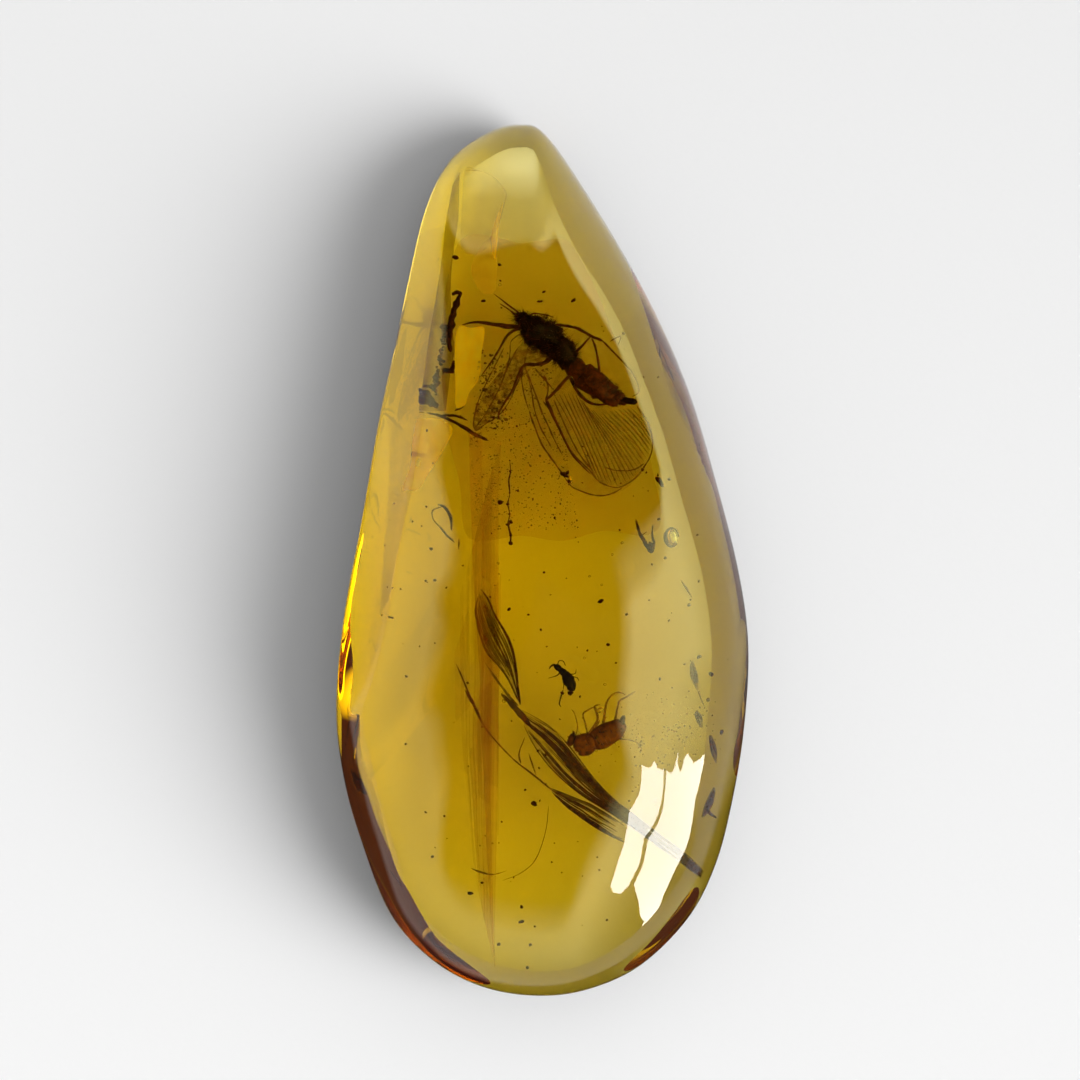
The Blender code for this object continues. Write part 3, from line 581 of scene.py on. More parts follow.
class AMBER_OT_winged_insect(bpy.types.Operator):
    """Makes the winged insect with its hairs, legs and veined wings"""
    bl_idname = "amber.winged_insect"
    bl_label = "Winged Insect"

    def execute(self, context):
        settings = context.scene.amber_insects
        shape = Shape()
        dark, leg, vein, wing, spotted = range(5)
        bodies = [
            ((-0.98, 11.84, 0.1), (0.78, 0.66, 0.6), -45), ((-0.28, 11.12, 0.1), (1.9, 1.35, 1.15), -53),
            ((0.45, 10.3, 0.05), (2.1, 1.25, 1.1), -50), ((1.15, 9.4, 0.0), (1.5, 0.95, 0.85), -45),
            ((2.1, 8.62, -0.02), (2.9, 1.28, 1.0), -37), ((3.0, 8.0, -0.05), (1.4, 0.72, 0.6), -33),
        ]
        for centre, size, turn in bodies:
            egg(shape, centre, size, turn, finish=leg if centre[0] > 1 else dark, lumps=0.22, grain=3.5)
        for share in np.linspace(0, 1, 6):
            centre = Vector((1.5, 9.1, 0.0)).lerp(Vector((3.1, 7.92, -0.05)), share)
            size = 1.22 - 0.55 * abs(share - 0.3) ** 1.3
            egg(shape, centre, (0.16, size, size * 0.8), -37, finish=leg, lumps=0.02, rings=6)
        tube(shape, [(3.0, 7.95, -0.05), (3.5, 7.76, -0.05), (4.12, 7.68, -0.05)], [0.6, 0.38, 0.34, 0.36],
             finish=dark)
        for number, (centre, size, turn) in enumerate(bodies[:3]):
            bristles(shape, centre, size, turn, (140, 460, 320)[number], 0.3, number, finish=dark)
            bristles(shape, centre, size, turn, (60, 200, 160)[number], 0.5, 20 + number, finish=leg)
        bristles(shape, (2.3, 8.5, -0.05), (3.0, 1.2, 0.95), -37, 200, 0.2, 9, finish=leg)
        antennae = [
            [(-0.9, 11.9, 0.15), (-1.25, 12.25, 0.22), (-1.61, 12.53, 0.25), (-2.0, 12.85, 0.3),
             (-2.37, 13.14, 0.3)],
            [(-1.0, 11.8, 0.2), (-1.35, 12.1, 0.15), (-1.68, 12.38, 0.1), (-2.09, 12.65, 0.0)],
            [(-0.8, 11.9, 0.1), (-0.5, 12.15, 0.2), (0.1, 11.95, 0.2)],
        ]
        for points in antennae:
            tube(shape, points, 0.12, 0.05, finish=leg, rough=0.5)
        legs = [
            ([(-0.7, 11.5, 0.0), (-1.61, 11.5, 0.1), (-2.37, 11.61, 0.15), (-3.14, 11.75, 0.2),
              (-3.7, 11.62, 0.2)],
             [0.2, 0.27, 0.2, 0.12, 0.07]),
            ([(-0.7, 11.5, -0.2), (-1.61, 11.16, -0.1), (-2.23, 10.12, 0.0), (-2.83, 9.05, 0.0)],
             [0.16, 0.14, 0.1, 0.05]),
            ([(0.0, 9.95, -0.2), (-0.3, 9.62, -0.1), (-0.87, 9.6, -0.1), (-1.12, 9.28, 0.0),
              (-1.5, 8.29, 0.1),
              (-2.06, 7.3, 0.1), (-2.06, 6.92, 0.1)], [0.2, 0.2, 0.16, 0.13, 0.12, 0.1, 0.06]),
            ([(0.9, 9.1, -0.2), (0.4, 8.5, 0.1), (-0.1, 7.83, 0.2)], [0.2, 0.17, 0.12]),
            ([(-0.1, 7.83, 0.2), (0.12, 7.2, 0.25), (0.4, 6.55, 0.25), (0.84, 5.62, 0.25), (1.26, 4.93, 0.2),
              (2.03, 4.09, 0.15)], [0.15, 0.13, 0.12, 0.11, 0.1, 0.06]),
            ([(0.1, 11.6, 0.1), (1.12, 11.42, 0.2), (1.89, 11.03, 0.2), (2.52, 10.77, 0.2)],
             [0.14, 0.15, 0.16, 0.14]),
            ([(2.52, 10.77, 0.2), (3.22, 10.05, 0.25), (3.88, 9.36, 0.25)], [0.12, 0.08, 0.05]),
            ([(1.1, 10.2, 0.0), (1.4, 10.45, 0.15), (1.89, 10.98, 0.2)], [0.14, 0.13, 0.1]),
            ([(1.95, 10.9, 0.2), (2.13, 10.43, 0.15), (2.31, 9.44, 0.1), (2.3, 8.8, 0.05)],
             [0.1, 0.11, 0.12, 0.1]),
            ([(0.84, 8.95, -0.2), (1.15, 8.35, -0.2), (1.5, 7.9, -0.2), (1.96, 7.6, -0.2), (2.4, 7.52, -0.2),
              (2.9, 7.62, -0.2)], [0.2, 0.17, 0.16, 0.15, 0.13, 0.1]),
            ([(2.87, 10.74, 0.1), (3.2, 10.95, 0.1), (3.43, 11.0, 0.1), (3.3, 10.6, 0.1)],
             [0.05, 0.06, 0.05, 0.04]),
        ]
        for points, widths in legs:
            tube(shape, points, widths, finish=leg, rough=0.35)
        film(shape, HIND_WING, -0.15, wing)
        film(shape, UNDER_WING, -0.32, wing)
        film(shape, LEFT_WING, -0.05, spotted)
        film(shape, RIGHT_WING, 0.12, wing)
        width = settings.vein_width / MM
        for line in [FAN, FAN_INNER, FAN_LOW, UNDER_RIM]:
            tube(shape, lifted(line, -0.14), width * 1.5, finish=vein, sides=5, rough=0.6)
        for line in LOBE_LINES + FORE_LINES:
            tube(shape, lifted(line, -0.05), width * 1.25, finish=vein, sides=5, rough=0.8)
        tube(shape, lifted(RIGHT_WING[2:6], 0.12), width * 0.9, finish=vein, sides=5)
        roots, ends = evenly(VEIN_ROOTS, settings.veins), evenly(VEIN_ENDS, settings.veins)
        rng = np.random.default_rng(7)
        for root, end in zip(roots, ends):
            bow = Vector((end[1] - root[1], root[0] - end[0])).normalized() * -0.08
            middle = (root + end) / 2 + np.array(bow)
            tube(shape, lifted([root, middle, end], -0.13), width * rng.uniform(0.7, 1.25), finish=vein,
                 sides=5)
        materials = [
            chitin("dark_chitin", settings.dark, 0.45),
            chitin("leg_chitin", settings.leg, 0.4),
            grained("wing_vein", linear("#4a1c03"), linear("#7a3a08"), 0.3, 0.6, opacity=0.62),
            # The wing film: a thin brown sheet, uneven where it is creased
            grained("wing_film", linear("#6b3a06"), linear("#8a5a10"), 0.5, 0.5,
                    opacity=settings.wing_opacity,
                    patches=(0.35, 0.7)),
            # The fore wing's film carries dark speckles
            grained("spotted_wing", linear("#4a1f04"), linear("#7a4a10"), 0.12, 0.5,
                    opacity=min(1, settings.wing_opacity * 3), patches=(0.28, 0.25)),
        ]
        make_piece("winged_insect_fine", shape, materials, ["winged_insect"])
        return {"FINISHED"}


class AMBER_OT_small_insects(bpy.types.Operator):
    """Makes the tiny black insect and the brown insect"""
    bl_idname = "amber.small_insects"
    bl_label = "Small Insects"

    def execute(self, context):
        settings = context.scene.amber_insects
        black = Shape()
        for centre, size, turn in [((0.69, -5.43, 0.05), (0.42, 0.3, 0.3), -35),
                                   ((0.93, -5.64, 0.0), (0.55, 0.33, 0.32), -45),
                                   ((1.2, -6.06, -0.02), (0.95, 0.55, 0.5), -62),
                                   ((1.31, -6.3, -0.02), (0.6, 0.46, 0.44), -70)]:
            egg(black, centre, size, turn, lumps=0.1, grain=7.0)
        for points, widths in [
            ([(0.66, -5.4, 0.05), (0.52, -5.28, 0.1), (0.38, -5.34, 0.1), (0.27, -5.5, 0.1)],
             [0.1, 0.1, 0.09, 0.05]),
            ([(0.72, -5.4, 0.05), (0.7, -5.2, 0.1), (0.78, -5.08, 0.15), (0.94, -5.12, 0.15),
              (1.05, -5.34, 0.1)],
             [0.05, 0.05, 0.04, 0.04]),
            ([(0.85, -5.6, -0.05), (0.68, -5.79, 0.0), (0.46, -5.88, -0.1), (0.22, -5.95, -0.2)],
             [0.07, 0.05, 0.03]),
            ([(1.0, -5.75, -0.05), (0.98, -6.2, 0.1), (0.94, -6.5, 0.05)], [0.07, 0.05, 0.04]),
            ([(0.94, -6.5, 0.05), (0.83, -6.84, 0.0), (0.75, -7.19, -0.1), (0.83, -7.36, -0.15)],
             [0.06, 0.07, 0.06, 0.03]),
            ([(1.02, -5.72, -0.05), (1.46, -5.74, 0.1), (1.52, -5.5, -0.1)], [0.06, 0.05, 0.03]),
            ([(1.05, -5.8, -0.05), (1.55, -5.92, 0.1), (1.64, -6.1, -0.1)], [0.06, 0.05, 0.03]),
        ]:
            tube(black, points, widths, rough=0.4)
        make_piece("black_insect_fine", black, [chitin("black_chitin", linear("#140a06"), 0.4)],
                   ["black_insect"])

        brown = Shape()
        body, edge, leg = range(3)
        egg(brown, (1.32, -8.97, 0.0), (0.66, 0.4, 0.46), 72, finish=edge, lumps=0.12)
        tube(brown, [(1.38, -8.8, 0.0), (1.42, -8.6, 0.0), (1.36, -8.5, 0.0)], [0.2, 0.12, 0.06],
             finish=edge)
        tube(brown, [(1.28, -8.9, 0.0), (1.12, -8.78, 0.0)], [0.14, 0.05], finish=edge)
        egg(brown, (1.95, -9.15, 0.0), (1.15, 1.05, 0.85), 30, finish=body, lumps=0.1, grain=3.0)
        egg(brown, (2.0, -9.5, -0.05), (0.8, 0.46, 0.6), 20, finish=edge, lumps=0.1)
        egg(brown, (1.7, -9.05, 0.28), (0.5, 0.5, 0.3), 30, finish=body, lumps=0.1)
        egg(brown, (2.2, -9.05, 0.3), (0.42, 0.7, 0.3), 20, finish=body, lumps=0.1)
        egg(brown, (2.86, -8.72, -0.02), (1.9, 1.14, 0.84), 30, finish=body, lumps=0.1, grain=4.0)
        for share in np.linspace(0, 0.86, 7):
            centre = Vector((2.3, -9.05, 0.0)).lerp(Vector((3.5, -8.38, 0.0)), share)
            size = 1.0 - 0.95 * abs(share - 0.4) ** 1.6
            egg(brown, centre, (0.1, size * 1.1, size * 0.86), 30, finish=edge if share > 0.6 else body,
                rings=6,
                lumps=0.08, grain=5.0)
        bristles(brown, (2.86, -8.74, -0.02), (1.9, 1.1, 0.84), 30, 90, 0.16, 31, finish=edge)
        bristles(brown, (1.95, -9.15, 0.0), (1.15, 1.05, 0.85), 30, 90, 0.18, 32, finish=edge)
        egg(brown, (3.56, -8.12, 0.0), (0.62, 0.26, 0.3), 75, finish=edge, lumps=0.05)
        egg(brown, (2.95, -9.08, -0.02), (1.2, 0.16, 0.5), 28, finish=edge, lumps=0.05)
        tube(brown, [(1.75, -9.1, 0.0), (1.4, -9.05, 0.0)], [0.3, 0.24], finish=edge)
        for points, widths in [
            ([(2.0, -8.9, 0.1), (2.3, -8.4, 0.2), (2.54, -7.95, 0.2), (2.45, -7.5, 0.15), (2.38, -7.33, 0.1),
              (2.6, -7.25, 0.05)], [0.18, 0.14, 0.11, 0.1, 0.09, 0.05]),
            ([(2.25, -8.7, 0.1), (2.45, -8.35, 0.2), (2.64, -8.0, 0.2)], [0.12, 0.11, 0.09]),
            ([(2.7, -8.5, 0.15), (2.8, -8.03, 0.2), (2.82, -7.68, 0.25), (2.89, -7.19, 0.25),
              (3.12, -6.81, 0.2),
              (3.44, -6.67, 0.1), (3.73, -6.81, 0.0)], [0.12, 0.12, 0.1, 0.08, 0.07, 0.04]),
            ([(3.1, -8.4, 0.0), (3.25, -8.03, -0.05), (3.34, -7.54, -0.1), (3.44, -7.12, -0.15),
              (3.73, -6.91, -0.2),
              (4.14, -6.63, -0.25)], [0.13, 0.11, 0.09, 0.09, 0.08, 0.04]),
            ([(2.1, -8.8, -0.1), (1.98, -8.2, -0.2), (1.87, -7.7, -0.2), (2.09, -7.5, -0.2),
              (2.36, -7.36, -0.2)],
             [0.1, 0.08, 0.07, 0.06]),
            ([(1.5, -8.8, 0.1), (1.6, -8.25, 0.15), (1.46, -7.65, 0.1), (1.32, -7.47, 0.1)],
             [0.07, 0.05, 0.04]),
            ([(3.34, -8.9, -0.1), (3.8, -9.0, -0.1), (4.2, -9.15, -0.1), (4.45, -9.5, -0.1)],
             [0.05, 0.05, 0.04]),
        ]:
            tube(brown, points, widths, finish=leg, rough=0.4)
        materials = [
            # Softer shell: brown, half clear at its rims, with darker mottling
            grained("brown_chitin", [value * 0.6 for value in settings.brown],
                    [value * 1.5 for value in settings.brown], 0.3, 0.4, relief=0.02, opacity=0.85),
            chitin("brown_edge", [value * 0.4 for value in settings.brown], 0.4, opacity=0.95),
            chitin("brown_leg", settings.brown, 0.4, opacity=0.6),
        ]
        make_piece("brown_insect_fine", brown, materials, ["brown_insect"])
        return {"FINISHED"}


# ------------------------------------------------------------------ the plants

UPPER_LEFT = [(-3.01, -1.97), (-3.12, -2.61), (-3.05, -3.2), (-2.87, -4.09), (-2.6, -4.73), (-2.06, -5.37),
              (-1.61, -6.06), (-1.2, -7.04)]
UPPER_RIGHT = [(-2.87, -1.52), (-2.51, -2.11), (-2.28, -2.8), (-1.83, -3.64), (-1.52, -4.38), (-1.32, -5.37),
               (-1.22, -6.35), (-1.11, -7.24)]
LOWER_TOP = [(-1.02, -7.49), (-0.61, -7.78), (0.2, -8.18), (0.92, -8.82), (1.64, -9.81), (2.27, -10.69),
             (3, -11.58), (4.17, -12.52), (6.32, -14.29), (7.86, -15.72)]
LOWER_BOTTOM = [(-0.93, -8.28), (-0.61, -9.02), (0.11, -10), (0.83, -10.89), (1.55, -11.53), (2.45, -12.12),
                (3.9, -13.06), (6.32, -14.93), (6.62, -15.23), (7.76, -16.17)]
SPLINTER_TOP = [(0.33, -11.29), (1.1, -11.63), (2.09, -12.03), (3, -12.62), (3.9, -13.26)]
SPLINTER_BOTTOM = [(0.42, -11.53), (1.19, -12.27), (2.09, -12.96), (3, -13.55), (3.85, -14)]
FLAKES = [
    ([(6.76, -5.1, 0.1), (6.86, -5.85, 0.0), (7.05, -6.6, -0.1)], 0.36),
    ([(6.98, -7.6, 0.1), (7.12, -8.05, 0.0), (7.27, -8.5, -0.1)], 0.36),
    ([(7.74, -8.85, 0.1), (7.93, -9.6, 0.0), (8.12, -10.3, -0.1)], 0.4),
    ([(8.05, -11.5, 0.1), (7.75, -12.3, 0.0), (7.35, -12.95, -0.1)], 0.5),
]


def part_way(edge_a, edge_b, share, first=0.0, last=1.0, count=12):
    """The line that runs at a share of the way from one edge to the other, over part of its length"""
    a, b = evenly(edge_a, 60), evenly(edge_b, 60)
    picked = np.linspace(first * 59, last * 59, count).astype(int)
    return [tuple(a[i, :2] * (1 - share) + b[i, :2] * share) for i in picked]


def plant_materials(settings):
    dark, olive = settings.dark, settings.olive
    return [
        # Dark fibre: split, long-grained and almost black where fibres lie together
        grained("dark_fibre", [v * 0.4 for v in dark], [v * 1.8 for v in dark], 0.18, 0.6, relief=0.02,
                opacity=0.9),
        # Red-brown fibre of the strip's core
        grained("red_fibre", linear("#2c0e02"), linear("#5e2606"), 0.2, 0.6, relief=0.02, opacity=0.7),
        # Olive fibre, half see-through
        grained("olive_fibre", [v * 0.5 for v in olive], olive, 0.25, 0.6, relief=0.02, opacity=0.7),
        # Leaf film: what is left of the blade between its fibres
        grained("leaf_film", [v * 0.5 for v in olive], [v * 1.2 for v in olive], 0.4, 0.6, opacity=0.42,
                patches=(0.5, 0.8)),
    ]


class AMBER_OT_plants(bpy.types.Operator):
    """Makes the twisted plant strip, its splinter and the leaf flakes"""
    bl_idname = "amber.plants"
    bl_label = "Plant Remains"

    def execute(self, context):
        settings = context.scene.amber_plants
        dark, red, olive, leaf = range(4)
        strand = Shape()
        strip(strand, UPPER_LEFT, UPPER_RIGHT, 0.05, 0.3, leaf)
        fibres(strand, UPPER_LEFT, UPPER_RIGHT, 15, 3, [dark, olive, olive, olive, olive], lift=0.12,
               width=0.07)
        tube(strand, lifted(UPPER_RIGHT, 0.3), [0.04, 0.1, 0.13, 0.12, 0.1], finish=dark, rough=0.3)
        tube(strand, lifted(UPPER_LEFT, 0.08), [0.05, 0.13, 0.11, 0.08, 0.1], finish=dark, rough=0.4)
        egg(strand, (-2.66, -4.12, 0.12), (0.78, 0.3, 0.12), -58, finish=dark, lumps=0.3, grain=4.0)
        tube(strand, [(-2.74, -5.17, 0.1), (-2.15, -6.06, 0.1), (-1.52, -6.95, 0.05), (-1.2, -7.3, 0.0)],
             [0.05, 0.13, 0.12, 0.08], finish=olive, rough=0.4)
        tube(strand, [(-2.87, -3.3, 0.1), (-2.24, -4.4, 0.15), (-1.5, -5.8, 0.1), (-1.15, -7.0, 0.05)],
             [0.04, 0.07, 0.07, 0.06], finish=olive)
        tube(strand, [(-1.97, -6.7, 0.1), (-1.52, -7.2, 0.1), (-1.1, -7.7, 0.05), (-0.6, -8.3, 0.0)],
             [0.14, 0.26, 0.32, 0.2], finish=red, rough=0.3)
        strip(strand, LOWER_TOP, LOWER_BOTTOM, -0.02, -0.08, leaf, count=70, across=6)
        fibres(strand, LOWER_TOP, LOWER_BOTTOM, settings.fibres, 11, [dark, dark, red, olive, olive],
               lift=-0.06,
               width=0.085, gaps=((0.3, 0.36), (0.62, 0.7)))
        for share, first, last, widths, finish in [
            (0.42, 0.0, 0.42, [0.06, 0.19, 0.21, 0.06], red), (0.5, 0.02, 0.4, [0.06, 0.12, 0.14, 0.05],
                                                               dark),
            (0.24, 0.02, 0.45, [0.05, 0.12, 0.15, 0.05], dark),
                                                   (0.8, 0.3, 0.72, [0.05, 0.14, 0.15, 0.06], dark),
            (0.9, 0.38, 0.8, [0.04, 0.09, 0.1, 0.06], dark), (0.12, 0.4, 1.0, [0.04, 0.06, 0.06, 0.04],
                                                              dark),
            (0.5, 0.6, 1.0, [0.05, 0.12, 0.19, 0.06], dark), (0.3, 0.8, 1.0, [0.06, 0.15, 0.19, 0.05], dark),
            (0.7, 0.85, 1.0, [0.07, 0.19, 0.19, 0.06], dark),
        ]:
            tube(strand, lifted(part_way(LOWER_TOP, LOWER_BOTTOM, share, first, last), 0.0), widths,
                 finish=finish,
                 flat=0.4, rough=0.35)
        materials = plant_materials(settings)
        make_piece("plant_strip_fine", strand, materials, ["plant_strip"])

        splinter = Shape()
        strip(splinter, SPLINTER_TOP, SPLINTER_BOTTOM, -0.02, -0.06, leaf, count=30)
        fibres(splinter, SPLINTER_TOP, SPLINTER_BOTTOM, 9, 5, [dark, dark, olive], lift=-0.03, width=0.09)
        tube(splinter, lifted(SPLINTER_BOTTOM, -0.04), [0.05, 0.16, 0.17, 0.12, 0.06], finish=dark,
             rough=0.3)
        tube(splinter, lifted(part_way(SPLINTER_TOP, SPLINTER_BOTTOM, 0.35, 0, 0.85), 0.0),
             [0.05, 0.14, 0.12, 0.05],
             finish=dark, rough=0.3)
        make_piece("plant_splinter_fine", splinter, materials, ["plant_splinter"])

        for number, (points, width) in enumerate(FLAKES, 1):
            flake = Shape()
            rng = np.random.default_rng(20 + number)
            line = through(points, 6)
            side = np.array([points[0][1] - points[-1][1], points[-1][0] - points[0][0], 0.0])
            side = side / np.linalg.norm(side)
            swell = np.sin(np.linspace(0.25, math.pi - 0.15, len(line)))[:, None] * width / 2
            strip(flake, line + side * swell, line - side * swell, points[1][2] + 0.03, points[1][2] - 0.03,
                  red,
                  count=16)
            for _ in range(5):
                shift = side * rng.uniform(-0.8, 0.8) * width / 2
                first = int(rng.integers(0, 5))
                bowed = line + shift * np.sin(np.linspace(0.3, 2.8, len(line)))[:, None]
                tube(flake, bowed[first:first + 8:2], [0.04, 0.1, 0.05], finish=dark, rough=0.4)
            if number == 4:
                tube(flake, [(7.6, -12.6, 0.0), (7.87, -12.83, 0.0), (8.34, -13.09, 0.0)], [0.2, 0.16, 0.08],
                     finish=dark)
                egg(flake, (7.75, -12.3, 0.0), (1.3, 0.34, 0.16), 62, finish=dark, lumps=0.3)
            if number == 1:
                tube(flake, [(7.05, -6.6, -0.1), (7.25, -7.1, -0.05), (7.4, -7.4, 0.0)], [0.06, 0.05, 0.03],
                     finish=dark)
            make_piece(f"leaf_flake_{number}_fine", flake, materials, [f"leaf_flake_{number}"])
        return {"FINISHED"}


class AMBER_OT_bark(bpy.types.Operator):
    """Makes the hooked stick, the bark crumbs, the twig and the shreds"""
    bl_idname = "amber.bark"
    bl_label = "Bark, Twig and Shreds"

    def execute(self, context):
        bark = bark_material()
        # Shred: a thin brown skin, half see-through
        skin = grained("shred", linear("#1e0c03"), linear("#4a2206"), 0.2, 0.5, opacity=0.92)
        pieces = {name: Shape() for name in
                  ("bark_stick", "bark_crumb", "bark_chip", "twig", "curled_shred", "forked_shred",
                   "seed_crumb")}
        tube(pieces["bark_stick"], [(-4.12, 13.16, 0.1), (-3.95, 13.27, 0.12), (-3.78, 13.2, 0.15),
                                    (-3.86, 12.9, 0.12),
                                    (-3.98, 12.54, 0.1), (-4.05, 11.9, 0.0), (-4.1, 11.3, 0.0),
                                    (-4.13, 10.78, 0.0),
                                    (-4.04, 10.3, 0.05)], [0.16, 0.2, 0.16, 0.26, 0.24, 0.26, 0.22, 0.14],
             rough=0.6)
        egg(pieces["bark_crumb"], (-4.15, 9.37, 0.05), (0.6, 0.26, 0.3), -8, lumps=0.3, grain=4.0)
        tube(pieces["bark_crumb"], [(-4.05, 9.3, 0.05), (-3.95, 9.6, 0.08), (-3.9, 9.9, 0.1)],
             [0.26, 0.18, 0.08], rough=0.6)
        tube(pieces["bark_crumb"], [(-4.3, 9.4, 0.05), (-4.42, 9.2, 0.0)], [0.14, 0.06], rough=0.6)
        chip = pieces["bark_chip"]
        egg(chip, (-4.98, 7.85, 0.0), (0.75, 0.4, 0.36), -60, lumps=0.35, grain=4.0)
        egg(chip, (-5.1, 8.25, 0.0), (0.5, 0.2, 0.3), -70, lumps=0.35, grain=4.0)
        egg(chip, (-4.82, 7.68, 0.0), (0.36, 0.22, 0.3), 0, lumps=0.35, grain=4.0)
        tube(pieces["twig"], [(-5.2, 7.25, 0.1), (-4.54, 7.09, 0.05), (-3.71, 6.67, 0.0), (-2.99, 6.18, 0.0),
                              (-2.45, 5.85, 0.0)], [0.08, 0.13, 0.15, 0.22, 0.08], rough=0.5)
        tube(pieces["twig"], [(-4.54, 7.12, 0.05), (-3.85, 7.1, 0.1), (-3.3, 6.88, 0.1)],
             [0.1, 0.15, 0.14, 0.08], rough=0.5)
        tube(pieces["curled_shred"], [(-4.75, 2.66, 0.1), (-4.5, 2.57, 0.1), (-4.28, 2.31, 0.1),
                                      (-4.14, 1.88, 0.05),
                                      (-4.12, 1.36, 0.0)], [0.05, 0.1, 0.15, 0.12, 0.06], rough=0.5)
        tube(pieces["curled_shred"], [(-4.5, 2.57, 0.1), (-4.95, 2.35, 0.0), (-4.9, 1.9, -0.1),
                                      (-4.6, 1.5, -0.1),
                                      (-4.3, 1.1, -0.1), (-3.97, 0.76, -0.1)],
             [0.05, 0.06, 0.05, 0.06, 0.1, 0.05],
             rough=0.5)
        forked = pieces["forked_shred"]
        tube(forked, [(4.09, 1.83, 0.1), (4.2, 1.4, 0.08), (4.35, 0.99, 0.05), (4.62, 0.5, 0.0),
                      (4.83, 0.12, 0.0)],
             [0.07, 0.13, 0.16, 0.2, 0.16], rough=0.5)
        tube(forked, [(4.88, 1.55, 0.1), (4.86, 0.99, 0.05), (4.94, 0.57, 0.0), (4.83, 0.12, 0.0)],
             [0.06, 0.1, 0.16, 0.16], rough=0.5)
        egg(forked, (4.8, 0.42, 0.0), (0.6, 0.32, 0.2), -75, lumps=0.3, grain=4.0)
        tube(forked, [(4.35, 1.0, 0.05), (4.6, 1.2, 0.05)], [0.06, 0.03], rough=0.5)
        egg(pieces["seed_crumb"], (5.2, 3.68, 0.0), (0.5, 0.28, 0.26), -55, lumps=0.3, grain=4.0)
        tube(pieces["seed_crumb"], [(5.12, 3.95, 0.0), (5.1, 4.12, 0.0)], [0.14, 0.04], rough=0.5)
        for name, shape in pieces.items():
            thin = name in ("curled_shred", "forked_shred")
            make_piece(name + "_fine", shape, [skin if thin else bark], [name])
        return {"FINISHED"}


# ------------------------------------------- specks, threads and flow marks

SPECKS = [(7.87, -5.77), (7.6, -7.07), (8.54, -8.72), (-1.58, -2.53), (-0.71, -2.78), (-0.43, -12.06),
          (-1.03, -17.15), (-1.03, -17.9), (-0.62, -19.05), (-0.75, -20.29), (-2.17, -19.14), (-3.49, -16.5),
          (-2.9, -15.95), (1.03, 3.76), (-0.39, 12.74), (-0.25, 13.24), (-2.08, 14.59), (-2.03, 13.79),
          (0.89, 12.79), (-1.48, 1.81), (-1.94, 2.81), (4.45, 4.31), (0.89, -6.67), (2.17, -10.91),
          (1.3, -6.67), (5.64, -3.18), (6.66, -2.43), (5.29, -5.97), (6.36, -5.27), (7.13, -4.92),
          (2.63, -2.18), (-4, 15.04), (-2.85, 12.79)]
SMUDGES = [(5.34, 8.7), (7.13, 4.56), (3.54, 15.04)]
DOTS = [(-1.58, 4.86), (-1.54, 4.31), (-1.6, 3.81), (-1.55, 3.26), (-1.62, 2.71), (-1.53, 2.21),
        (-1.58, 1.71), (-1.48, 1.17), (-1.48, 0.77)]


